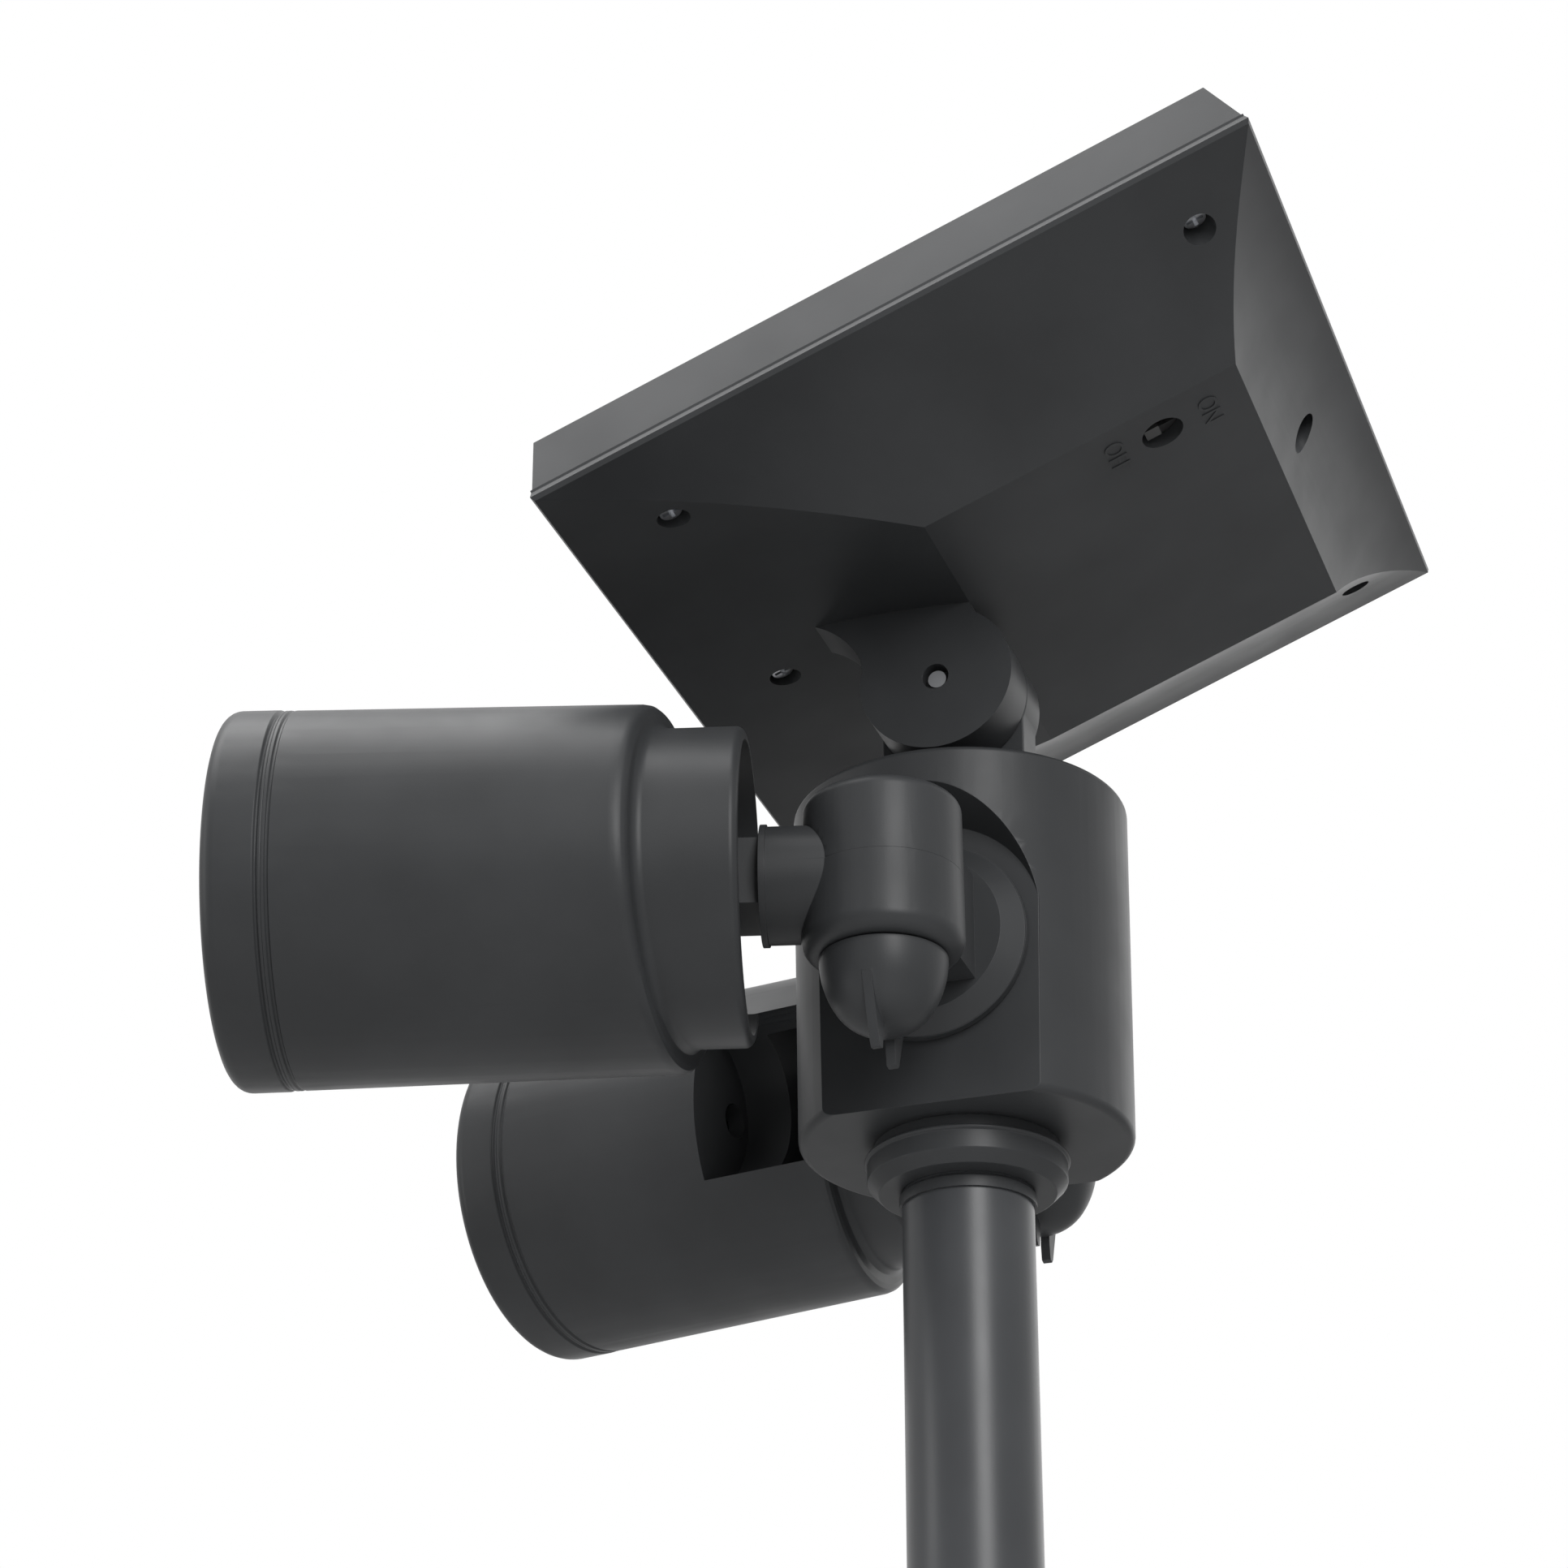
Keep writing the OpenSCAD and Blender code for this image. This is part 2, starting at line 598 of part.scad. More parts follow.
module arm_shape() translate([0, 0, arm_height]) difference() {
  union() {
    translate([barrel_end, 0, 0]) rotate([0, 90, 0]) cylinder(r = barrel_r, h = foot_x - barrel_end + eps);
    translate([foot_x, 0, 0]) rotate([0, 90, 0]) cylinder(r = arm_foot_d / 2, h = foot_t);
    translate([foot_x + foot_t - eps, 0, 0]) rotate([0, 90, 0])
      cylinder(r1 = arm_foot_d / 2 - 0.2, r2 = foot_top_r, h = foot_cone);
    difference() {
      translate([foot_x + over, -arm_square / 2, -arm_square / 2])
        cube([knuckle_x - foot_x - over, arm_square, arm_square]);
      translate([knuckle_x, 0, -arm_square]) cylinder(r = knuckle_r + 0.15 + seat, h = 2 * arm_square);
    }
    translate([knuckle_x - knuckle_r - 3, -web_half, -arm_square / 2])
      cube([knuckle_r + 3, 2 * web_half, arm_square / 2 + spindle_high]);
    translate([knuckle_x, 0, spindle_low]) cylinder(r = spindle_r, h = spindle_high - spindle_low);
  }
  translate([knuckle_x, 0, -arm_square]) cylinder(r = bolt_clear_r, h = 2 * arm_square, $fn = 48);
  translate([clip_x - 0.1, 0, 0]) rotate([0, 90, 0]) difference() {
    cylinder(r = barrel_r + over, h = clip_t + 0.2);
    translate([0, 0, -over]) cylinder(r = clip_groove_r, h = clip_t + 2 * over);
  }
}

module arm_1() color(charcoal) arm_shape();
module arm_2() color(charcoal) mirror([1, 0, 0]) arm_shape();

module clip_shape() translate([clip_x, 0, arm_height]) rotate([0, 90, 0]) difference() {
  cylinder(r = barrel_r + 2, h = clip_t);
  translate([0, 0, -over]) cylinder(r = clip_groove_r, h = clip_t + 2 * over);
  translate([-barrel_r * 2, -2, -over]) cube([barrel_r * 2, 4, clip_t + 2 * over]);
}

module arm_clip_1() color(bright_steel) clip_shape();
module arm_clip_2() color(bright_steel) mirror([1, 0, 0]) clip_shape();

// ---------------------------------------------------------------- knuckles
// Lamp frame: zero on the knuckle axis at arm height, lamp pointing along -y

knuckle_split = 0.2;
low_fillet = 2.6;
high_fillet = 1.8;
neck_r = neck_d / 2;
neck_end = 16.5;
flare_r = neck_r + 0.3;
tongue_w = 5.6;
tongue_t = 5;
pin_s = 32;
pin_r = 2;
pan_in = 5;
pan_out = 30;
window_half = web_half + 0.4;
nut_flat = 7;
nut_r = nut_flat / 2 / cos(30);
nut_z = spindle_high + 0.4;
nut_h = 3;
nut_boss_r = nut_r + 2.3;

function turned(p, a) = [p[0] * cos(a) - p[1] * sin(a), p[0] * sin(a) + p[1] * cos(a)];

// Plan of the slot that the web of the arm sweeps between its two end turns
module window_outline(a, b) polygon([turned([-3, -window_half], a),
  turned([-knuckle_r - 2, -window_half], a), turned([-knuckle_r - 2, 0], a),
  turned([-knuckle_r - 2, 0], b), turned([-knuckle_r - 2, window_half], b),
  turned([-3, window_half], b)]);

module knuckle_bore(pan) {
  translate([0, 0, spindle_low - seat])
    cylinder(r = spindle_r + run, h = spindle_high - spindle_low + 2 * seat);
  translate([0, 0, -arm_square / 2 - seat])
    linear_extrude(height = arm_square / 2 + spindle_high + seat + 0.2)
      window_outline(-pan + pan_in + 0.5, -pan - pan_out - 0.5);
  translate([0, 0, -knuckle_below - over]) cylinder(r = bolt_clear_r, h = 2 * knuckle_below, $fn = 48);
}

module neck_solid(extra) rotate([90, 0, 0]) cylinder(r = neck_r + extra, h = neck_end);

module knuckle_base(pan) difference() {
  union() {
    rotate_extrude() polygon(concat([[0, -knuckle_below]],
      arc(knuckle_r + 0.1 - low_fillet, -knuckle_below + low_fillet, low_fillet, -90, 0, 7),
      [[knuckle_r, knuckle_split], [0, knuckle_split]]));
    neck_solid(0);
    rotate([90, 0, 0]) translate([0, 0, neck_end - 0.6]) cylinder(r = flare_r, h = 0.9);
    translate([-tongue_w + 0.1, -pin_s, -tongue_t])
      cube([2 * tongue_w - 0.2, pin_s - neck_end + over, 2 * tongue_t]);
    translate([0, -pin_s, -tongue_t]) cylinder(r = tongue_w, h = 2 * tongue_t);
  }
  knuckle_bore(pan);
  translate([0, 0, knuckle_split]) cylinder(r = nut_boss_r + 0.04, h = knuckle_above);
  translate([0, -pin_s, -tongue_t - over]) cylinder(r = pin_r + run, h = 2 * tongue_t + 2 * over, $fn = 48);
}

module knuckle_cap(pan) difference() {
  rotate_extrude() polygon(concat([[0, knuckle_split], [knuckle_r, knuckle_split]],
    arc(knuckle_r - 0.1 - high_fillet, knuckle_above - high_fillet, high_fillet, 0, 90, 6),
    [[0, knuckle_above]]));
  difference() {
    neck_solid(0.04);
    cylinder(r = nut_boss_r, h = knuckle_above);
  }
  knuckle_bore(pan);
  translate([0, 0, spindle_high]) cylinder(r = nut_r + 0.04, h = nut_z + nut_h - spindle_high, $fn = 6);
  translate([0, 0, spindle_high]) cylinder(r = bolt_clear_r, h = 5, $fn = 48);
}

module nut_shape() translate([0, 0, nut_z]) difference() {
  cylinder(r = nut_r, h = nut_h, $fn = 6);
  translate([0, 0, -over]) cylinder(r = pin_r + run, h = nut_h + 2 * over, $fn = 48);
}

module knuckle_base_1() color(charcoal) side_1() knuckle_base(lamp_pan_1);
module knuckle_base_2() color(charcoal) side_2() knuckle_base(lamp_pan_2);
module knuckle_cap_1() color(charcoal) side_1() knuckle_cap(lamp_pan_1);
module knuckle_cap_2() color(charcoal) side_2() knuckle_cap(lamp_pan_2);
module clamp_nut_1() color(bright_steel) side_1() nut_shape();
module clamp_nut_2() color(bright_steel) side_2() nut_shape();

knob_top = -knuckle_below - seat;
knob_r = 8.95;
knob_side_r = 13.95;
knob_tip_r = 8.03;
fin_t = 1.4;
bolt_head_r = 4;
bolt_head_z = 6.4;

// Dome outline made of a wide side arc and a small tip arc that meet without a break
module knob_outline() polygon(concat([[0, 0]],
  arc(knob_r - knob_side_r, 0, knob_side_r, 0, -32.4, 10),
  arc(0, -knob_h + knob_tip_r, knob_tip_r, -32.4 - 4, -90, 9)));

module knob_shape() translate([0, 0, knob_top]) difference() {
  union() {
    rotate_extrude() knob_outline();
    for (way = [0, 1]) mirror([way, 0, 0]) rotate([90, 0, 0])
      linear_extrude(height = fin_t, center = true)
        polygon([[2.6, -6], [6, -4.3], [8.2, -4.9], [4.6, -14], [4.0, -14.6], [3.0, -14.4], [2.6, -12]]);
  }
  translate([0, 0, -bolt_head_z]) cylinder(r = bolt_head_r, h = 3, $fn = 6);
  translate([0, 0, -bolt_head_z + eps]) cylinder(r = pin_r, h = bolt_head_z + over, $fn = 48);
}

module knob_bolt_shape() translate([0, 0, knob_top]) {
  translate([0, 0, -bolt_head_z]) cylinder(r = bolt_head_r, h = 3, $fn = 6);
  translate([0, 0, -bolt_head_z + eps])
    cylinder(r = pin_r, h = bolt_head_z - knob_top + nut_z + nut_h - 0.2, $fn = 48);
}

module wing_knob_1() color(charcoal) translate([knuckle_x, 0, arm_height]) knob_shape();
module wing_knob_2() color(charcoal) translate([-knuckle_x, 0, arm_height]) knob_shape();
module knob_bolt_1() color(bright_steel) translate([knuckle_x, 0, arm_height]) knob_bolt_shape();
module knob_bolt_2() color(bright_steel) translate([-knuckle_x, 0, arm_height]) knob_bolt_shape();

// ---------------------------------------------------------------- lamps
// Lamp parts are turned about z and then laid along -y

module lamp_1() side_1() rotate([90, 0, 0]) children();
module lamp_2() side_2() rotate([90, 0, 0]) children();

tail_r = lamp_tail_d / 2;
lamp_r = lamp_d / 2;
lamp_slope = 0.01493;
shoulder_s = tail_s + 8.5;
shoulder_len = 4;
tail_fillet = 1.2;
cup_r = tail_r - 1.8;
cup_floor = 38.4;
pocket_floor = 9.3;
pocket_end = 46.2;
chamber_s = 49;
ledge_s = 57.5;
chamber_r = lamp_r - 5.4;
bore_r = lamp_r - 3;
spigot_r = lamp_r - 1.4;
spigot_len = 2.2;
lug_r = 6;
lug_gap = tongue_t + seat;
lug_t = 4;
wire_hole_r = 2.85;
wire_hole_x = -13.4;
seam_groove = 0.3;

function lamp_radius(s) = lamp_r + lamp_slope * (s - seam_s);

module lamp_shape() difference() {
  union() {
    difference() {
      rotate_extrude() polygon(concat([[0, tail_s]],
        arc(tail_r - tail_fillet, tail_s + tail_fillet, tail_fillet, -90, 0, 6),
        [[tail_r, shoulder_s], [tail_r + 1.1, shoulder_s], [tail_r + 1.3, shoulder_s + 0.2],
         [tail_r + 1.3, shoulder_s + 1.6], [tail_r + 2.3, shoulder_s + 1.6],
         [tail_r + 2.5, shoulder_s + 1.8], [tail_r + 2.5, shoulder_s + 3.2],
         [lamp_radius(shoulder_s + 3.2) - 0.3, shoulder_s + 3.2],
         [lamp_radius(shoulder_s + 3.6), shoulder_s + 3.6],
         [lamp_radius(seam_s - 1.1), seam_s - 1.1], [lamp_r - seam_groove, seam_s - 0.9],
         [lamp_r - seam_groove, seam_s - 0.6], [lamp_r, seam_s - 0.4], [lamp_r, seam_s],
         [spigot_r, seam_s], [spigot_r, seam_s + spigot_len], [0, seam_s + spigot_len]]));
      translate([0, 0, tail_s - over]) cylinder(r = cup_r, h = cup_floor - tail_s + over);
      translate([0, 0, chamber_s]) cylinder(r = chamber_r, h = seam_s);
      translate([0, 0, ledge_s]) cylinder(r = bore_r, h = seam_s);
    }
    for (way = [-1, 1]) translate([0, way * (lug_gap + lug_t / 2), 0]) rotate([90, 0, 0])
      linear_extrude(height = lug_t, center = true) union() {
        translate([0, pin_s]) circle(r = lug_r, $fn = 72);
        translate([-lug_r + 0.1, pin_s]) square([2 * lug_r - 0.2, cup_floor - pin_s + over]);
      }
  }
  translate([0, 0, tail_s - over]) linear_extrude(height = pocket_end - tail_s + over) difference() {
    union() {
      translate([-pocket_floor - pocket_w / 2, 0]) circle(r = pocket_w / 2 + 0.05, $fn = 96);
      translate([-lamp_d, -pocket_w / 2]) square([lamp_d - pocket_floor - pocket_w / 2, pocket_w]);
    }
  }
  translate([wire_hole_x, 0, pocket_end - over]) cylinder(r = wire_hole_r, h = 10, $fn = 48);
  rotate([90, 0, 0]) translate([0, pin_s, -lug_gap - lug_t - over])
    cylinder(r = pin_r, h = 2 * (lug_gap + lug_t + over), $fn = 48);
}

module pin_shape() rotate([90, 0, 0]) translate([0, pin_s, -lug_gap - lug_t])
  cylinder(r = pin_r, h = 2 * (lug_gap + lug_t), $fn = 48);

glass_s = seam_s + spigot_len + 1.2;
lens_t = 1.8;
lens_r = spigot_r - 0.7;
lip_r = lens_r - 1.8;
front_fillet = 2.2;

module bezel_shape() difference() {
  rotate_extrude() polygon(concat([[0, seam_s], [lamp_r, seam_s], [lamp_r, seam_s + 0.4],
    [lamp_r - seam_groove, seam_s + 0.6], [lamp_r - seam_groove, seam_s + 0.9],
    [lamp_r + 0.1, seam_s + 1.1]],
    arc(lamp_r + 0.15 - front_fillet, seam_s + bezel_len - front_fillet, front_fillet, 0, 90, 7),
    [[0, seam_s + bezel_len]]));
  translate([0, 0, seam_s - over]) cylinder(r = spigot_r + eps, h = spigot_len + 0.1 + over);
  translate([0, 0, seam_s - over]) cylinder(r = lens_r + 0.05, h = glass_s + lens_t - seam_s + over);
  translate([0, 0, seam_s]) cylinder(r1 = lip_r - 1, r2 = lip_r + 1, h = bezel_len + over);
}

module lens_shape() translate([0, 0, glass_s]) cylinder(r = lens_r, h = lens_t);

module lens_seal_shape() translate([0, 0, seam_s + spigot_len]) difference() {
  cylinder(r = lens_r, h = glass_s - seam_s - spigot_len);
  translate([0, 0, -over]) cylinder(r = bore_r, h = 4);
}

board_disc_t = 1.6;
board_top = ledge_s + board_disc_t;
reflector_end = seam_s - 3;
chip_ring = 11.6;
chip_count = 5;
cup_low_r = 3.9;
cup_high_r = 6.4;

module led_board_shape() difference() {
  translate([0, 0, ledge_s]) cylinder(r = bore_r - 0.2, h = board_disc_t);
  translate([wire_hole_x - 2, 0, ledge_s - over]) cylinder(r = 1.5, h = 4, $fn = 32);
}

module chip_places() {
  children();
  for (i = [0 : chip_count - 1]) rotate([0, 0, 36 + i * 360 / chip_count])
    translate([chip_ring + 2.2, 0, 0]) children();
}

module led_chips_shape() translate([0, 0, board_top]) chip_places() {
  translate([-2.5, -2.5, 0]) cube([5, 5, 1]);
  translate([0, 0, 1 - eps]) cylinder(r = 1.9, h = 0.5, $fn = 48);
}

module reflector_shape() difference() {
  translate([0, 0, board_top]) cylinder(r = bore_r - 0.2, h = reflector_end - board_top);
  translate([0, 0, board_top - over]) chip_places()
    cylinder(r1 = cup_low_r - 0.2, r2 = cup_high_r, h = reflector_end - board_top + 2 * over);
}

module lamp_body_1() color(charcoal) lamp_1() lamp_shape();
module lamp_body_2() color(charcoal) lamp_2() lamp_shape();
module bezel_1() color(charcoal) lamp_1() bezel_shape();
module bezel_2() color(charcoal) lamp_2() bezel_shape();
module lens_1() color(clear_glass, 0.5) lamp_1() lens_shape();
module lens_2() color(clear_glass, 0.5) lamp_2() lens_shape();
module lens_seal_1() color(seal_black) lamp_1() lens_seal_shape();
module lens_seal_2() color(seal_black) lamp_2() lens_seal_shape();
module reflector_1() color(bright_steel) lamp_1() reflector_shape();
module reflector_2() color(bright_steel) lamp_2() reflector_shape();
module led_board_1() color(board_green) lamp_1() led_board_shape();
module led_board_2() color(board_green) lamp_2() led_board_shape();
module led_chips_1() color([0.95, 0.85, 0.3]) lamp_1() led_chips_shape();
module led_chips_2() color([0.95, 0.85, 0.3]) lamp_2() led_chips_shape();
module fold_pin_1() color(bright_steel) lamp_1() pin_shape();
module fold_pin_2() color(bright_steel) lamp_2() pin_shape();

ground_spike();
pole();
pole_ring();
hub_body();
pole_socket();
socket_ring();
tilt_post();
lid_screws();
hinge_washer();
panel_back();
panel_frame();
panel_gasket();
solar_backsheet();
solar_cells();
solar_glass();
battery();
battery_holder();
control_board();
board_screws();
switch_body();
switch_slider();
panel_screws();
tilt_ear();
hinge_bolt();
arm_1();
arm_2();
arm_clip_1();
arm_clip_2();
knuckle_base_1();
knuckle_base_2();
knuckle_cap_1();
knuckle_cap_2();
clamp_nut_1();
clamp_nut_2();
wing_knob_1();
wing_knob_2();
knob_bolt_1();
knob_bolt_2();
lamp_body_1();
lamp_body_2();
bezel_1();
bezel_2();
lens_1();
lens_2();
lens_seal_1();
lens_seal_2();
reflector_1();
reflector_2();
led_board_1();
led_board_2();
led_chips_1();
led_chips_2();
fold_pin_1();
fold_pin_2();
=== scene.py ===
"""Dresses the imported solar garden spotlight: finishes, fine forms, studio and camera."""
import json
import logging
import math
from dataclasses import dataclass, field
from enum import Enum
from typing import Callable

import bmesh
import bpy
import numpy as np
from mathutils import Matrix, Vector


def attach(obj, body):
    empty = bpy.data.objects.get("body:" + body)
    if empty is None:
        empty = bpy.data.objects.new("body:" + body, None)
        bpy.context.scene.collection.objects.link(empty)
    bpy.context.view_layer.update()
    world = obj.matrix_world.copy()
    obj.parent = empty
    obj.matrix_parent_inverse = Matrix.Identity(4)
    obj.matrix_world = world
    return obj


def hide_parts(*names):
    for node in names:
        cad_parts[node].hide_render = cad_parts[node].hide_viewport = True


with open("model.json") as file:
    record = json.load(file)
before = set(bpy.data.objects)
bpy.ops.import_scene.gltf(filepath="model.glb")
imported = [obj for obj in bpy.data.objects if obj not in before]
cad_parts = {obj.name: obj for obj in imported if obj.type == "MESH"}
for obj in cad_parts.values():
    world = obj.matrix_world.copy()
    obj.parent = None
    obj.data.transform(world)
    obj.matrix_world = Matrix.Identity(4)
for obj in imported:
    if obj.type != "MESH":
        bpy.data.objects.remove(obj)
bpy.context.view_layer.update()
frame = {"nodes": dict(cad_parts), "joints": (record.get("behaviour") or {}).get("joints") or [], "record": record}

log = logging.getLogger("spotlight")
MM = 0.001
# Corners closer than this many metres are one corner
WELD = 2e-6
# Faces that meet at less than this many degrees are one flat face
FLAT_WITHIN = 0.6


# --------------------------------------------------------------------------- finishes


class Grain(Enum):
    """How a moulded or drawn surface is broken up."""

    SPARK = "spark"
    DRAWN = "drawn"


@dataclass(frozen=True)
class Finish:
    """One procedural finish, with its grain, sheen and handling wear.

    Attributes:
        name: name of the material.
        colour: base colour, linear.
        rough: roughness of the clean surface.
        grain: kind of fine relief.
        grain_size: size of one grain in millimetres.
        relief: height of the grain in millimetres.
        specular: specular level.
        metallic: share of metal.
        coat: weight of the clear coat.
        mottle: share by which the colour wanders.
        alpha: opacity.
        transmission: share of light let through.
        ior: index of refraction.
    """

    name: str
    colour: tuple[float, float, float]
    rough: float = 0.4
    grain: Grain = Grain.SPARK
    grain_size: float = 0.25
    relief: float = 0.006
    specular: float = 0.5
    metallic: float = 0.0
    coat: float = 0.0
    mottle: float = 0.12
    alpha: float = 1.0
    transmission: float = 0.0
    ior: float = 1.5

    def build(self) -> bpy.types.Material:
        """Makes the material from nodes on Object coordinates.

        Returns:
            The new material.
        """
        mat = bpy.data.materials.new(self.name)
        mat.use_nodes = True
        tree = mat.node_tree
        shader = tree.nodes["Principled BSDF"]
        shader.inputs["Metallic"].default_value = self.metallic
        shader.inputs["Specular IOR Level"].default_value = self.specular
        shader.inputs["IOR"].default_value = self.ior
        shader.inputs["Coat Weight"].default_value = self.coat
        shader.inputs["Coat Roughness"].default_value = 0.12
        shader.inputs["Alpha"].default_value = self.alpha
        shader.inputs["Transmission Weight"].default_value = self.transmission
        where = tree.nodes.new("ShaderNodeTexCoord").outputs["Object"]
        self._colour(tree, shader, where)
        self._roughness(tree, shader, where)
        self._relief(tree, shader, where)
        return mat

    def _noise(self, tree: bpy.types.NodeTree, where: bpy.types.NodeSocket, scale: float,
               detail: float) -> bpy.types.NodeSocket:
        """Adds one noise field.

        Args:
            tree: node tree of the material.
            where: coordinate socket.
            scale: cycles a metre.
            detail: octaves.

        Returns:
            The noise value socket.
        """
        node = tree.nodes.new("ShaderNodeTexNoise")
        node.inputs["Scale"].default_value = scale
        node.inputs["Detail"].default_value = detail
        tree.links.new(where, node.inputs["Vector"])
        return node.outputs["Fac"]

    def _remap(self, tree: bpy.types.NodeTree, value: bpy.types.NodeSocket, low: float,
               high: float) -> bpy.types.NodeSocket:
        """Maps the middle of a noise field onto a range.

        Args:
            tree: node tree of the material.
            value: noise socket.
            low: output at the low end.
            high: output at the high end.

        Returns:
            The mapped socket.
        """
        node = tree.nodes.new("ShaderNodeMapRange")
        node.inputs["From Min"].default_value = 0.3
        node.inputs["From Max"].default_value = 0.7
        node.inputs["To Min"].default_value = low
        node.inputs["To Max"].default_value = high
        tree.links.new(value, node.inputs["Value"])
        return node.outputs["Result"]

    def _colour(self, tree: bpy.types.NodeTree, shader: bpy.types.Node,
                where: bpy.types.NodeSocket) -> None:
        """Lets the colour wander slowly round its mean.

        Args:
            tree: node tree of the material.
            shader: principled shader.
            where: coordinate socket.
        """
        ramp = tree.nodes.new("ShaderNodeValToRGB")
        dark = [c * (1 - self.mottle) for c in self.colour]
        pale = [min(1.0, c * (1 + self.mottle)) for c in self.colour]
        ramp.color_ramp.elements[0].position = 0.35
        ramp.color_ramp.elements[0].color = (*dark, 1)
        ramp.color_ramp.elements[1].position = 0.65
        ramp.color_ramp.elements[1].color = (*pale, 1)
        tree.links.new(self._noise(tree, where, 38.0, 4.0), ramp.inputs["Fac"])
        tree.links.new(ramp.outputs["Color"], shader.inputs["Base Color"])

    def _roughness(self, tree: bpy.types.NodeTree, shader: bpy.types.Node,
                   where: bpy.types.NodeSocket) -> None:
        """Varies the sheen in soft patches, as handled plastic does.

        Args:
            tree: node tree of the material.
            shader: principled shader.
            where: coordinate socket.
        """
        patches = self._noise(tree, where, 95.0, 3.0)
        spread = self._remap(tree, patches, self.rough * 0.93, min(1.0, self.rough * 1.08))
        tree.links.new(spread, shader.inputs["Roughness"])

    def _relief(self, tree: bpy.types.NodeTree, shader: bpy.types.Node,
                where: bpy.types.NodeSocket) -> None:
        """Raises the fine grain.

        Args:
            tree: node tree of the material.
            shader: principled shader.
            where: coordinate socket.
        """
        bump = tree.nodes.new("ShaderNodeBump")
        bump.inputs["Strength"].default_value = 1.0
        bump.inputs["Distance"].default_value = self.relief * MM
        scale = 1.0 / (self.grain_size * MM)
        if self.grain is Grain.DRAWN:
            stretch = tree.nodes.new("ShaderNodeMapping")
            stretch.inputs["Scale"].default_value = (1.0, 1.0, 0.02)
            tree.links.new(where, stretch.inputs["Vector"])
            where = stretch.outputs["Vector"]
        tree.links.new(self._noise(tree, where, scale, 2.0), bump.inputs["Height"])
        tree.links.new(bump.outputs["Normal"], shader.inputs["Normal"])


CHARCOAL = Finish("charcoal_moulding", (0.0228, 0.0238, 0.0251), rough=0.42, specular=0.16)
POLE_BLACK = Finish("pole_coating", (0.030, 0.0315, 0.0338), rough=0.34, specular=0.24,
                    grain_size=0.4, relief=0.004)
ZINC = Finish("zinc_plate", (0.5, 0.51, 0.53), rough=0.32, metallic=1.0, grain=Grain.DRAWN)
SEAL = Finish("seal_rubber", (0.01, 0.01, 0.01), rough=0.7)
BACKSHEET = Finish("white_laminate", (0.78, 0.78, 0.77), rough=0.45, relief=0.002)
CELL = Finish("silicon_cell", (0.010, 0.014, 0.045), rough=0.18, relief=0.001, coat=0.4, mottle=0.3)
GLASS = Finish("cover_glass", (0.9, 0.94, 0.95), rough=0.06, alpha=0.28, relief=0.001, mottle=0.02)
TRIM = Finish("black_trim", (0.012, 0.012, 0.012), rough=0.5)
BOARD = Finish("board_lacquer", (0.012, 0.09, 0.035), rough=0.3, relief=0.002)
SLEEVE = Finish("cell_sleeve", (0.04, 0.12, 0.3), rough=0.28, relief=0.002)
LENS = Finish("front_lens", (0.92, 0.94, 0.95), rough=0.05, alpha=0.3, relief=0.001, mottle=0.02)
BRIGHT = Finish("metallised_cups", (0.8, 0.81, 0.83), rough=0.14, metallic=1.0, relief=0.002)
PHOSPHOR = Finish("phosphor", (0.72, 0.55, 0.12), rough=0.5)

SLOT_FINISH: dict[str, Finish] = {
    "housing": CHARCOAL, "pole_tube": POLE_BLACK, "steel": ZINC, "seal": SEAL,
    "backsheet": BACKSHEET, "cell": CELL, "solar_glass": GLASS, "black_trim": TRIM,
    "board": BOARD, "battery_wrap": SLEEVE, "lens": LENS, "reflector": BRIGHT, "led": PHOSPHOR,
}


class Wardrobe:
    """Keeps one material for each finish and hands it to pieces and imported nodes."""

    def __init__(self) -> None:
        """Builds every finish once."""
        self.by_slot: dict[str, bpy.types.Material] = {
            slot: finish.build() for slot, finish in SLOT_FINISH.items()}

    def dress(self, obj: bpy.types.Object, slot: str) -> bpy.types.Object:
        """Puts a slot's finish on a piece.

        Args:
            obj: mesh object.
            slot: name of the record's material slot.

        Returns:
            The same object.
        """
        obj.data.materials.clear()
        obj.data.materials.append(self.by_slot[slot])
        return obj

    def dress_packed(self, record: dict, nodes: dict[str, bpy.types.Object]) -> None:
        """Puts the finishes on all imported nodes.

        Args:
            record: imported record.
            nodes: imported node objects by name.
        """
        for part in record["subparts"]:
            node = nodes[part["node"]]
            material = self.by_slot[part["material_slot"]]
            if node.data.materials:
                for i in range(len(node.data.materials)):
                    node.data.materials[i] = material
            else:
                node.data.materials.append(material)


# --------------------------------------------------------------------------- surfaces


@dataclass
class Surface:
    """A polygon surface kept as arrays until it becomes a mesh.

    Attributes:
        points: vertex positions in millimetres, shape (n, 3).
        faces: lists of vertex indices.
    """

    points: np.ndarray
    faces: list[list[int]] = field(default_factory=list)

    def placed(self, place: "Place") -> "Surface":
        """Moves the surface from a local frame into the row frame.

        Args:
            place: local frame.

        Returns:
            A new surface, its faces turned over where the frame is a mirror.
        """
        faces = self.faces if place.handed > 0 else [f[::-1] for f in self.faces]
        return Surface(place.put(self.points), [list(f) for f in faces])

    def mesh(self, name: str, smooth_angle: float = 32.0) -> bpy.types.Object:
        """Makes the mesh object, in metres, smooth up to an angle.

        Args:
            name: object name.
            smooth_angle: faces that meet at less than this many degrees shade smoothly.

        Returns:
            The linked object.
        """
        data = bpy.data.meshes.new(name)
        data.from_pydata((self.points * MM).tolist(), [], self.faces)
        data.validate()
        obj = bpy.data.objects.new(name, data)
        bpy.context.scene.collection.objects.link(obj)
        shade(obj, smooth_angle)
        return obj


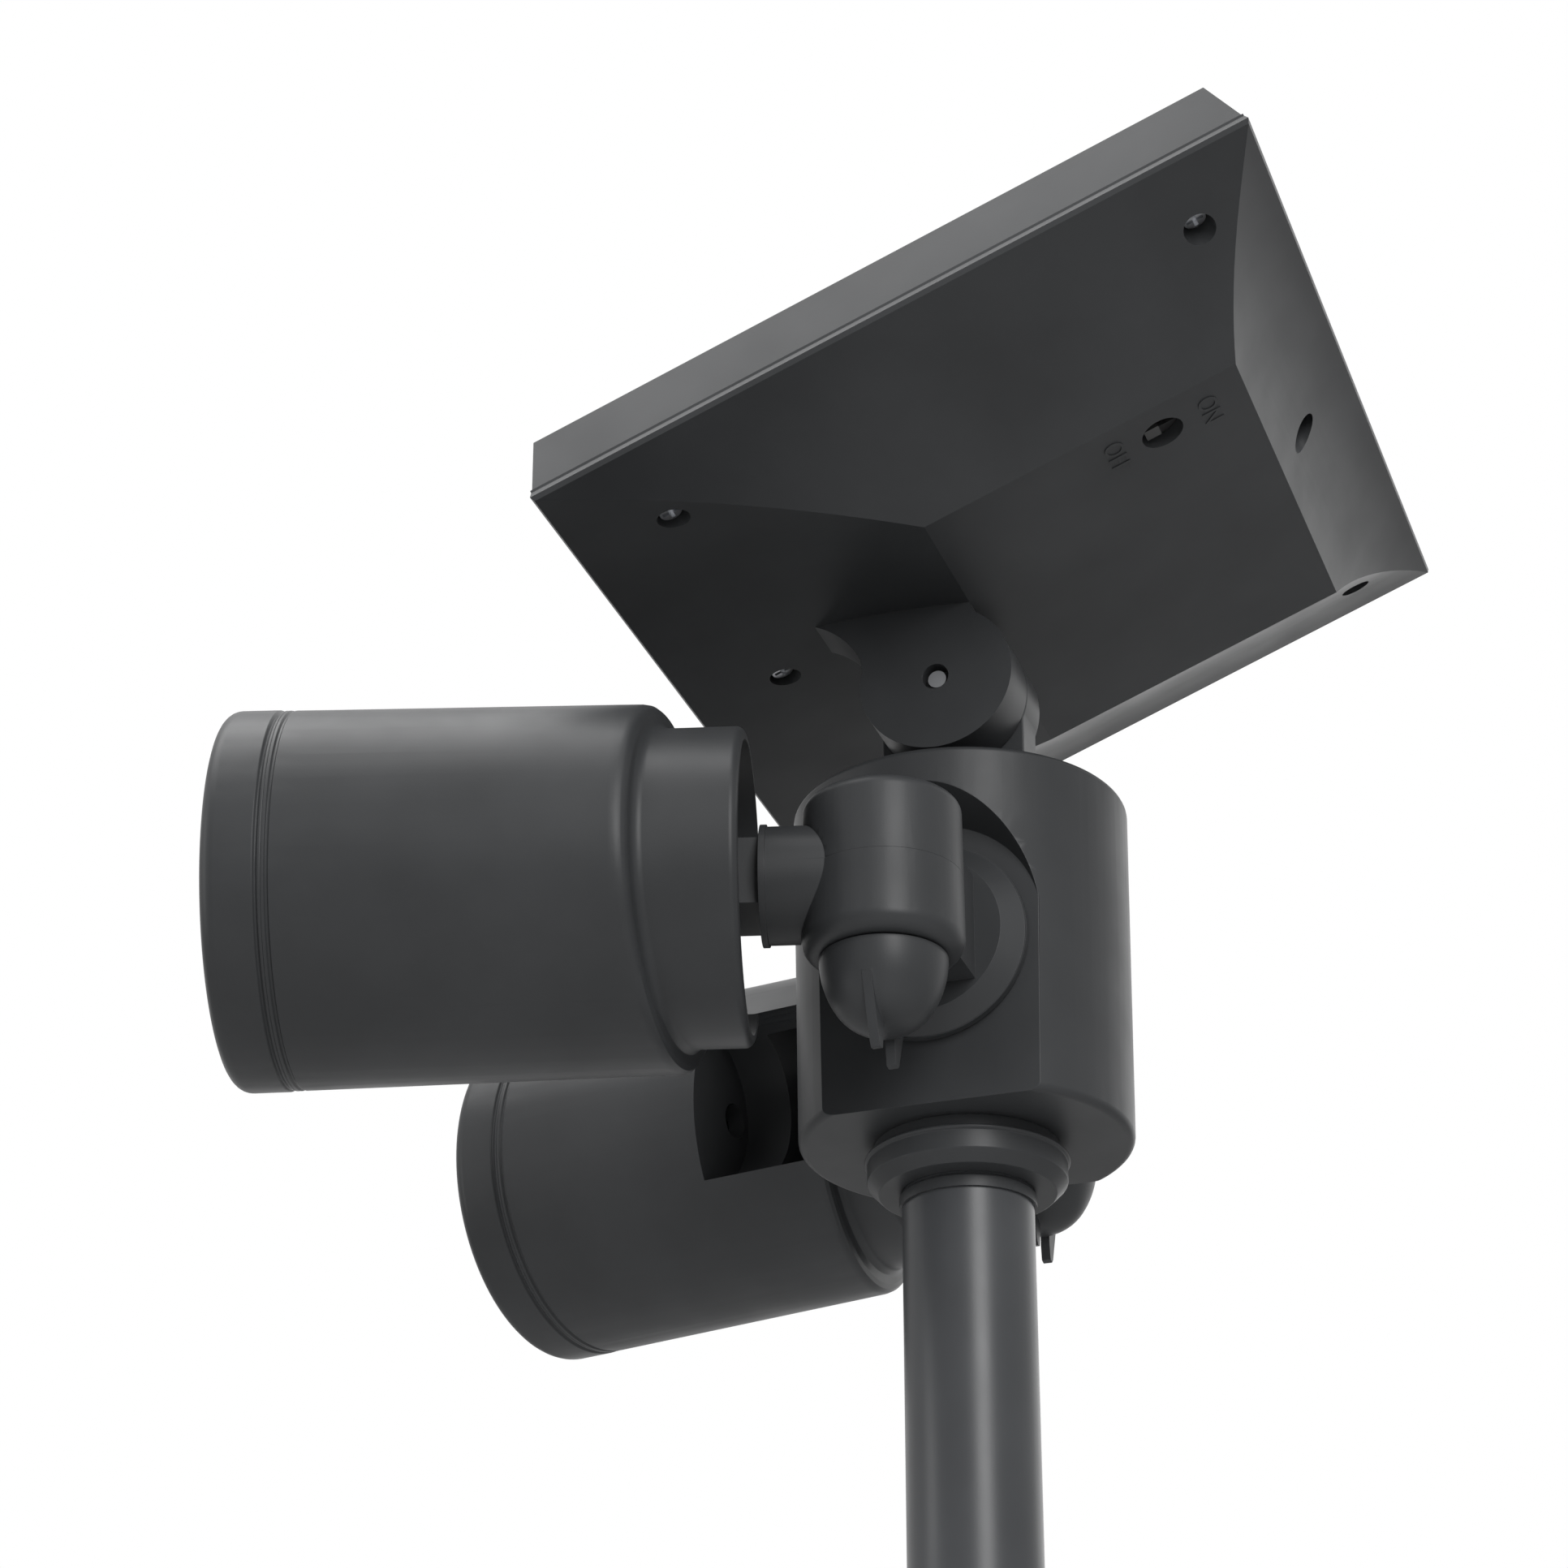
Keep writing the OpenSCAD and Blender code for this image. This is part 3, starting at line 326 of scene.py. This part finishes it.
@dataclass
class Place:
    """A local frame in the row frame, in millimetres.

    Attributes:
        origin: position of the local zero.
        axes: rows are the local axes.
    """

    origin: np.ndarray
    axes: np.ndarray

    @property
    def handed(self) -> float:
        """Plus one for a right-handed frame, minus one for a mirrored one."""
        return float(np.sign(np.linalg.det(self.axes)))

    def put(self, points: np.ndarray) -> np.ndarray:
        """Position = origin + x X + y Y + z Z, for all points at once."""
        return self.origin + np.asarray(points, float) @ self.axes


def shade(obj: bpy.types.Object, angle: float) -> None:
    """Shades smoothly, apart from edges sharper than an angle.

    Args:
        obj: mesh object.
        angle: limit in degrees.
    """
    data = obj.data
    data.polygons.foreach_set("use_smooth", np.ones(len(data.polygons), bool))
    data.set_sharp_from_angle(angle=math.radians(angle))
    data.update()


def bake(obj: bpy.types.Object) -> bpy.types.Object:
    """Applies all modifiers of an object.

    Args:
        obj: mesh object.

    Returns:
        The same object with its final mesh.
    """
    bpy.context.view_layer.update()
    graph = bpy.context.evaluated_depsgraph_get()
    data = bpy.data.meshes.new_from_object(obj.evaluated_get(graph), depsgraph=graph)
    obj.modifiers.clear()
    obj.data = data
    return obj


def soften(obj: bpy.types.Object, width: float, angle: float = 35.0, steps: int = 2,
           smooth_angle: float = 40.0) -> bpy.types.Object:
    """Rounds the sharp edges of a piece a little.

    Args:
        obj: mesh object.
        width: width of the rounding in millimetres.
        angle: edges sharper than this many degrees are rounded.
        steps: segments of the rounding.
        smooth_angle: shading limit afterwards in degrees.

    Returns:
        The same object.
    """
    modifier = obj.modifiers.new("edge", "BEVEL")
    modifier.width = width * MM
    modifier.segments = steps
    modifier.limit_method = "ANGLE"
    modifier.angle_limit = math.radians(angle)
    modifier.use_clamp_overlap = True
    modifier.miter_outer = "MITER_ARC"
    bake(obj)
    shade(obj, smooth_angle)
    return obj


def settle(obj: bpy.types.Object) -> bpy.types.Object:
    """Lets the larger faces decide the shading at their corners, so flats look flat.

    Args:
        obj: mesh object, its sharp edges already marked.

    Returns:
        The same object.
    """
    modifier = obj.modifiers.new("flats", "WEIGHTED_NORMAL")
    modifier.mode = "FACE_AREA"
    modifier.weight = 50  # the middle of the scale: area alone decides
    modifier.keep_sharp = True
    return bake(obj)


def packed_copy(node: str, name: str, angle: float = 25.0,
                reshape: Callable[[np.ndarray], np.ndarray] | None = None) -> bpy.types.Object:
    """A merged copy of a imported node, its flat faces joined, shaded smoothly.

    Args:
        node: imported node.
        name: name of the copy.
        angle: shading limit in degrees.
        reshape: moves all corners at once, in millimetres, or nothing.

    Returns:
        The new object.
    """
    data = frame["nodes"][node].data.copy()
    data.name = name
    data.materials.clear()
    if reshape is not None:
        points = np.empty(len(data.vertices) * 3)
        data.vertices.foreach_get("co", points)
        moved = reshape(points.reshape(-1, 3) / MM) * MM
        data.vertices.foreach_set("co", moved.ravel())
    form = bmesh.new()
    form.from_mesh(data)
    bmesh.ops.remove_doubles(form, verts=form.verts, dist=WELD)
    bmesh.ops.dissolve_limit(form, angle_limit=math.radians(FLAT_WITHIN), verts=form.verts,
                             edges=form.edges)
    form.to_mesh(data)
    form.free()
    if "custom_normal" in data.attributes:
        data.attributes.remove(data.attributes["custom_normal"])
    obj = bpy.data.objects.new(name, data)
    bpy.context.scene.collection.objects.link(obj)
    shade(obj, angle)
    return obj


# --------------------------------------------------------------------------- the object


@dataclass
class Layout:
    """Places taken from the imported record: hub, knuckles, lamps and panel.

    Attributes:
        arm_z: height of the arm axis.
        hinge: point on the panel hinge.
        up_slope: unit vector up the panel.
        knuckles: knuckle axis point by side.
        ways: unit vector along each lamp by side.
    """

    arm_z: float = 0.0
    hinge: np.ndarray = field(default_factory=lambda: np.zeros(3))
    up_slope: np.ndarray = field(default_factory=lambda: np.zeros(3))
    knuckles: dict[int, np.ndarray] = field(default_factory=dict)
    ways: dict[int, np.ndarray] = field(default_factory=dict)

    @classmethod
    def read(cls, joints: list[dict]) -> "Layout":
        """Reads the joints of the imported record.

        Args:
            joints: joints of the record.

        Returns:
            The layout, in millimetres.
        """
        found = {j["name"]: j for j in joints}
        out = cls()
        out.arm_z = found["head_turn"]["pos_m"][2] / MM
        out.hinge = np.array(found["panel_tilt"]["pos_m"]) / MM
        out.up_slope = np.array(found["switch_slide"]["axis"])
        for side in (1, 2):
            axis = np.array(found[f"knuckle_pan_{side}"]["pos_m"]) / MM
            pin = np.array(found[f"lamp_fold_{side}"]["pos_m"]) / MM
            out.knuckles[side] = axis
            out.ways[side] = (pin - axis) / np.linalg.norm(pin - axis)
        return out

    @property
    def sun(self) -> np.ndarray:
        """Unit vector out of the panel, towards the sun."""
        return np.cross(np.array([1.0, 0.0, 0.0]), self.up_slope)

    def measured(self, node: str) -> np.ndarray:
        """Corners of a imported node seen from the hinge: across, up the slope, to the sun.

        Args:
            node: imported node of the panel.

        Returns:
            Array of shape (n, 3), in millimetres.
        """
        data = frame["nodes"][node].data
        points = np.empty(len(data.vertices) * 3)
        data.vertices.foreach_get("co", points)
        axes = np.array([[1.0, 0.0, 0.0], self.up_slope, self.sun])
        return (points.reshape(-1, 3) / MM - self.hinge) @ axes.T

    def lamp(self, side: int) -> Place:
        """Local frame of a lamp: x outward, y up, z along the lamp from the knuckle axis."""
        way = self.ways[side]
        sign = 1.0 if side == 1 else -1.0
        across = np.array([-way[1], way[0], 0.0]) * sign
        return Place(self.knuckles[side], np.array([across, [0.0, 0.0, 1.0], way]))


@dataclass
class Shoulder:
    """The lamp's shoulder: one rounded step, slanted outwards, in place of an upright ring.

    Attributes:
        place: local frame of the lamp, its third axis along the lamp.
        start: distance of the ring's first corner from the knuckle axis.
        length: length of the ring along the lamp.
        tail: radius of the lamp's tail.
        slant: rise along the lamp for each millimetre outwards.
        slack: how far off its place a corner of the ring may lie.
    """

    place: Place
    start: float = 27.0
    length: float = 3.6
    tail: float = 22.4
    slant: float = 0.165
    slack: float = 0.02

    def reshape(self, points: np.ndarray) -> np.ndarray:
        """Moves the ring's corners to the same share of the rounded step, and slants them.

        A corner at share t of the stepped outline goes to share t of the rounded outline, and
        then along the lamp by slant times its distance outwards.

        Args:
            points: corners in the row frame, shape (n, 3), in millimetres.

        Returns:
            The moved corners.
        """
        local = (points - self.place.origin) @ self.place.axes.T
        radius = np.hypot(local[:, 0], local[:, 1])
        near = local[:, 2] > self.start - self.slack
        near &= local[:, 2] < self.start + self.length + self.slack
        near &= radius > self.tail - self.slack
        rim, t, s = float(radius[near].max()), self.tail, self.start
        stepped = np.array([[t, s], [t + 1.1, s], [t + 1.3, s + 0.2], [t + 1.3, s + 1.6],
                            [t + 2.3, s + 1.6], [t + 2.5, s + 1.8], [t + 2.5, s + 3.2],
                            [rim - 0.3, s + 3.2], [rim, s + self.length]])
        rounded = np.array([[t, s + 0.6], [t + 0.25, s + 1.35], [t + 0.7, s + 1.8],
                            [t + 1.3, s + 1.95], [t + 2.0, s + 2.0], [rim - 1.3, s + 2.05],
                            [rim - 0.6, s + 2.25], [rim - 0.17, s + 2.75],
                            [rim, s + self.length]])
        share = self._share(stepped, np.stack([radius[near], local[near, 2]], axis=1))
        steps = np.arange(len(stepped))
        wanted = np.interp(share, steps, rounded[:, 0])
        local[near, :2] *= (wanted / radius[near])[:, None]
        local[near, 2] = np.interp(share, steps, rounded[:, 1]) + self.slant * local[near, 0]
        return self.place.put(local)

    def _share(self, outline: np.ndarray, points: np.ndarray) -> np.ndarray:
        """Nearest place on an outline for each point, as segment number plus share of it.

        Args:
            outline: corners, shape (m, 2).
            points: points, shape (n, 2).

        Returns:
            Array of n places.
        """
        way = outline[1:] - outline[:-1]
        off = points[:, None] - outline[None, :-1]
        part = np.clip((off * way).sum(-1) / (way ** 2).sum(-1), 0.0, 1.0)
        gap = np.linalg.norm(off - part[..., None] * way, axis=-1)
        best = gap.argmin(axis=1)
        return best + part[np.arange(len(points)), best]


@dataclass(frozen=True)
class Rounding:
    """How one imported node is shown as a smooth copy.

    Attributes:
        node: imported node.
        body: body that it rides on.
        width: width of the edge rounding in millimetres, or 0 for none.
        from_angle: edges sharper than this many degrees are rounded.
        smooth: faces that meet at less than this many degrees shade smoothly.
    """

    node: str
    body: str
    width: float
    from_angle: float = 30.0
    smooth: float = 34.0


@dataclass
class CopiedParts:
    """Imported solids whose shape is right: shown as smooth copies with rounded edges.

    Attributes:
        shared: copies that stand alone.
        sided: copies made for both sides, their names without the side number.
        shoulders: what reshapes each lamp's shoulder, by node.
    """

    shared: tuple[Rounding, ...] = (
        Rounding("ground_spike", "stake", 0.5), Rounding("pole", "stake", 0.3),
        Rounding("pole_ring", "stake", 0.0), Rounding("hub_body", "head", 1.2),
        Rounding("pole_socket", "head", 0.25), Rounding("tilt_post", "head", 0.5, 20.0),
        Rounding("panel_back", "panel", 0.3, 13.0, 30.0),
        Rounding("panel_frame", "panel", 0.35, 20.0), Rounding("tilt_ear", "panel", 0.6, 25.0),
    )
    sided: tuple[Rounding, ...] = (
        Rounding("arm", "arm", 0.35), Rounding("knuckle_base", "knuckle", 0.3),
        Rounding("knuckle_cap", "knuckle", 0.3), Rounding("wing_knob", "knob", 0.25),
        Rounding("lamp_body", "lamp", 0.3), Rounding("bezel", "lamp", 0.3),
    )
    shoulders: dict[str, Callable[[np.ndarray], np.ndarray]] = field(default_factory=dict)

    def build(self, wardrobe: Wardrobe, slots: dict[str, str], layout: Layout) -> None:
        """Makes and dresses every copy.

        Args:
            wardrobe: finishes.
            slots: material slot of each node.
            layout: places of the object.
        """
        self.shoulders = {f"lamp_body_{side}": Shoulder(layout.lamp(side)).reshape
                          for side in (1, 2)}
        for rule in self.shared:
            self._copy(rule, rule.node, rule.body, wardrobe, slots)
        for rule in self.sided:
            for side in (1, 2):
                self._copy(rule, f"{rule.node}_{side}", f"{rule.body}_{side}", wardrobe, slots)

    def _copy(self, rule: Rounding, node: str, body: str, wardrobe: Wardrobe,
              slots: dict[str, str]) -> None:
        """Makes one copy in place of its node.

        Args:
            rule: how its edges are rounded and shaded.
            node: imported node.
            body: body that it rides on.
            wardrobe: finishes.
            slots: material slot of each node.
        """
        obj = packed_copy(node, f"form_{node}", rule.smooth, self.shoulders.get(node))
        if rule.width:
            soften(obj, rule.width, rule.from_angle, smooth_angle=rule.smooth)
        settle(obj)
        wardrobe.dress(obj, slots[node])
        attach(obj, body)
        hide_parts(node)
        log.info("copy of %s: %d faces", node, len(obj.data.polygons))


@dataclass
class SwitchLettering:
    """The raised ON and OFF beside the slide switch, in the cover's own colour.

    Attributes:
        words: word, place across and place up the slope from the hinge, in millimetres.
        size: type size in millimetres.
        rise: height of the letters over the cover.
        sunk: depth by which they sit in it.
    """

    words: tuple[tuple[str, float, float], ...] = (("ON", 28.0, 53.9), ("OFF", 28.3, 38.8))
    size: float = 4.3
    rise: float = 0.16
    sunk: float = 0.1

    def build(self, layout: Layout, wardrobe: Wardrobe) -> None:
        """Sets both words on the flat of the cover.

        Args:
            layout: places of the object.
            wardrobe: finishes.
        """
        sun = layout.sun
        place = Place(layout.hinge, np.array([[-1.0, 0.0, 0.0], layout.up_slope, -sun]))
        flat = -float(layout.measured("panel_back")[:, 2].min())
        for word, across, up in self.words:
            points, faces = self._letters(word)
            points[:, :2] *= self.size
            points[:, :2] += (-across, up)
            points[:, 2] = np.where(points[:, 2] > 0, flat + self.rise, flat - self.sunk)
            obj = Surface(place.put(points), faces).mesh(f"word_{word.lower()}", 20.0)
            wardrobe.dress(obj, "housing")
            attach(obj, "panel")
            log.info("word %s: %d faces", word, len(faces))

    def _letters(self, word: str) -> tuple[np.ndarray, list[list[int]]]:
        """Turns a word into a mesh of unit type size, centred on zero.

        Args:
            word: the word.

        Returns:
            Its points and faces.
        """
        curve = bpy.data.curves.new(f"type_{word.lower()}", "FONT")
        curve.body = word
        curve.align_x = "CENTER"
        curve.align_y = "CENTER"
        curve.extrude = 0.05
        curve.resolution_u = 6
        obj = bpy.data.objects.new(curve.name, curve)
        bpy.context.scene.collection.objects.link(obj)
        bpy.context.view_layer.update()
        graph = bpy.context.evaluated_depsgraph_get()
        data = bpy.data.meshes.new_from_object(obj.evaluated_get(graph))
        bpy.data.objects.remove(obj)
        form = bmesh.new()
        form.from_mesh(data)
        bmesh.ops.remove_doubles(form, verts=form.verts, dist=1e-5)
        bmesh.ops.recalc_face_normals(form, faces=form.faces)
        form.to_mesh(data)
        form.free()
        points = np.empty(len(data.vertices) * 3)
        data.vertices.foreach_get("co", points)
        return points.reshape(-1, 3), [list(f.vertices) for f in data.polygons]


@dataclass
class CellPrint:
    """Silver fingers and busbars printed on the solar cells.

    Attributes:
        pitch: spacing of the fingers in millimetres.
        finger: width of a finger.
        busbar: width of a busbar.
        margin: bare edge of a cell.
        thick: height of the print.
    """

    pitch: float = 1.9
    finger: float = 0.14
    busbar: float = 0.9
    margin: float = 0.8
    thick: float = 0.03

    def build(self, layout: Layout, wardrobe: Wardrobe) -> None:
        """Prints every cell: fingers across it and two busbars along it.

        Args:
            layout: places of the object.
            wardrobe: finishes.
        """
        cells = layout.measured("solar_cells")
        top = float(cells[:, 2].max())
        upper = cells[cells[:, 2] > top - self.thick]
        across = np.unique(upper[:, 0].round(2)).reshape(-1, 2)
        along = np.unique(upper[:, 1].round(2)).reshape(-1, 2)
        left, low = np.meshgrid(across[:, 0], along[:, 0])
        right, high = np.meshgrid(across[:, 1], along[:, 1])
        box = np.stack([left.ravel(), right.ravel(), low.ravel(), high.ravel()], axis=1)
        box += np.array([1.0, -1.0, 1.0, -1.0]) * self.margin
        wide = bool(np.mean(box[:, 1] - box[:, 0]) >= np.mean(box[:, 3] - box[:, 2]))
        fingers = self._stripes(box, self.pitch, self.finger, lengthwise=not wide)
        busbars = self._stripes(box, float(np.mean(box[:, 3] - box[:, 2] if not wide else
                                                   box[:, 1] - box[:, 0])) / 2.0,
                                self.busbar, lengthwise=wide)
        place = Place(layout.hinge, np.array([[1.0, 0.0, 0.0], layout.up_slope, layout.sun]))
        for name, stripes in (("cell_fingers", fingers), ("cell_busbars", busbars)):
            obj = self._bars(stripes, top).placed(place).mesh(name, 20.0)
            wardrobe.dress(obj, "steel")
            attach(obj, "panel")
            log.info("%s: %d bars", name, len(stripes))

    def _stripes(self, box: np.ndarray, pitch: float, width: float,
                 lengthwise: bool) -> np.ndarray:
        """Stripes of one width inside each cell: stripe k stands at low + (k + 1/2) pitch.

        Args:
            box: cells as rows of left, right, low and high.
            pitch: wanted spacing.
            width: width of a stripe.
            lengthwise: whether the stripes run along the first axis.

        Returns:
            Stripes as rows of left, right, low and high.
        """
        first, last = (2, 3) if lengthwise else (0, 1)
        span = float(np.min(box[:, last] - box[:, first]))
        count = max(1, int(round(span / pitch)))
        step = (box[:, last] - box[:, first]) / count
        middle = box[:, first, None] + (np.arange(count) + 0.5) * step[:, None]
        out = np.repeat(box[:, None], count, axis=1)
        out[:, :, first] = middle - width / 2
        out[:, :, last] = middle + width / 2
        return out.reshape(-1, 4)

    def _bars(self, rows: np.ndarray, low: float) -> Surface:
        """Closed flat bars: eight corners and six faces for each row.

        Args:
            rows: bars as rows of left, right, low and high.
            low: height of their undersides.

        Returns:
            The surface.
        """
        pick = np.array([[0, 2], [1, 2], [1, 3], [0, 3]])
        plan = rows[:, pick]
        lower = np.concatenate([plan, np.full((*plan.shape[:2], 1), low)], axis=2)
        upper = np.concatenate([plan, np.full((*plan.shape[:2], 1), low + self.thick)], axis=2)
        points = np.concatenate([lower, upper], axis=1).reshape(-1, 3)
        faces = np.array([[3, 2, 1, 0], [4, 5, 6, 7], [0, 1, 5, 4], [1, 2, 6, 5], [2, 3, 7, 6],
                          [3, 0, 4, 7]])
        index = faces[None] + 8 * np.arange(len(rows))[:, None, None]
        return Surface(points, index.reshape(-1, 4).tolist())


@dataclass
class Studio:
    """Camera, soft lights, pale floor and white surround.

    Attributes:
        eye: camera position in metres.
        look: viewing direction.
        lens: focal length in millimetres on a 36 mm sensor.
        floor_z: height of the floor in metres.
    """

    eye: tuple[float, float, float] = (0.5466, 0.1547, 0.0710)
    look: tuple[float, float, float] = (-0.8467, -0.2827, 0.4507)
    lens: float = 97.06
    floor_z: float = -0.151

    def build(self) -> None:
        """Builds the whole studio."""
        self._camera()
        self._floor()
        self._world()
        self._lights()
        bpy.context.scene.view_settings.view_transform = "Standard"

    def _camera(self) -> None:
        """Sets the camera, level about its viewing direction."""
        data = bpy.data.cameras.new("camera")
        data.lens = self.lens
        data.sensor_width = 36.0
        data.clip_start = 0.01
        cam = bpy.data.objects.new("camera", data)
        cam.location = self.eye
        cam.rotation_euler = Vector(self.look).to_track_quat("-Z", "Y").to_euler()
        bpy.context.scene.collection.objects.link(cam)
        bpy.context.scene.camera = cam

    def _floor(self) -> None:
        """Lays a plain pale floor."""
        size = 3000.0
        corner = np.array([[-size, -size], [size, -size], [size, size], [-size, size]])
        z = np.full((4, 1), self.floor_z / MM)
        floor = Surface(np.hstack([corner, z]), [[0, 1, 2, 3]]).mesh("studio_floor")
        finish = Finish("floor_paint", (0.78, 0.78, 0.78), rough=0.6, relief=0.0, mottle=0.01)
        floor.data.materials.append(finish.build())

    def _world(self) -> None:
        """Gives a soft fill, and white where the camera, gloss or glass sees it."""
        world = bpy.data.worlds.new("surround")
        bpy.context.scene.world = world
        world.use_nodes = True
        tree = world.node_tree
        out = tree.nodes["World Output"]
        fill = tree.nodes["Background"]
        fill.inputs["Color"].default_value = (1, 1, 1, 1)
        fill.inputs["Strength"].default_value = 0.3
        white = tree.nodes.new("ShaderNodeBackground")
        white.inputs["Color"].default_value = (1, 1, 1, 1)
        white.inputs["Strength"].default_value = 1.0
        path = tree.nodes.new("ShaderNodeLightPath")
        seen = tree.nodes.new("ShaderNodeMath")
        seen.operation = "MAXIMUM"
        tree.links.new(path.outputs["Is Camera Ray"], seen.inputs[0])
        tree.links.new(path.outputs["Is Transmission Ray"], seen.inputs[1])
        glossy = tree.nodes.new("ShaderNodeMath")
        glossy.operation = "MAXIMUM"
        tree.links.new(seen.outputs["Value"], glossy.inputs[0])
        tree.links.new(path.outputs["Is Glossy Ray"], glossy.inputs[1])
        mix = tree.nodes.new("ShaderNodeMixShader")
        tree.links.new(glossy.outputs["Value"], mix.inputs["Fac"])
        tree.links.new(fill.outputs["Background"], mix.inputs[1])
        tree.links.new(white.outputs["Background"], mix.inputs[2])
        tree.links.new(mix.outputs["Shader"], out.inputs["Surface"])

    def _lights(self) -> None:
        """Hangs soft boxes round the object."""
        boxes = (
            ("key_box", (0.95, 0.65, 0.75), (0.0, 0.0, 0.33), (0.45, 0.9), 18.0),
            ("top_box", (0.2, -0.3, 1.3), (0.0, -0.05, 0.33), (0.9, 0.9), 12.0),
            ("side_box", (0.6, -1.0, 0.4), (0.0, 0.0, 0.33), (0.35, 0.9), 4.0),
            ("far_box", (-1.0, 0.2, 0.9), (0.0, 0.0, 0.33), (1.2, 1.2), 3.0),
        )
        for name, place, aim, size, power in boxes:
            data = bpy.data.lights.new(name, "AREA")
            data.shape = "RECTANGLE"
            data.size, data.size_y = size
            data.energy = power
            lamp = bpy.data.objects.new(name, data)
            lamp.location = place
            way = Vector(aim) - Vector(place)
            lamp.rotation_euler = way.to_track_quat("-Z", "Y").to_euler()
            bpy.context.scene.collection.objects.link(lamp)


def main() -> None:
    """Builds the spotlight's pieces in order and reports each one."""
    logging.basicConfig(level=logging.INFO, format="%(message)s")
    record = frame["record"]
    slots = {p["node"]: p["material_slot"] for p in record["subparts"]}
    wardrobe = Wardrobe()
    wardrobe.dress_packed(record, frame["nodes"])
    layout = Layout.read(frame["joints"])
    log.info("arm axis at %.1f mm", layout.arm_z)
    CopiedParts().build(wardrobe, slots, layout)
    SwitchLettering().build(layout, wardrobe)
    CellPrint().build(layout, wardrobe)
    Studio().build()


if __name__ == "__main__":
    main()
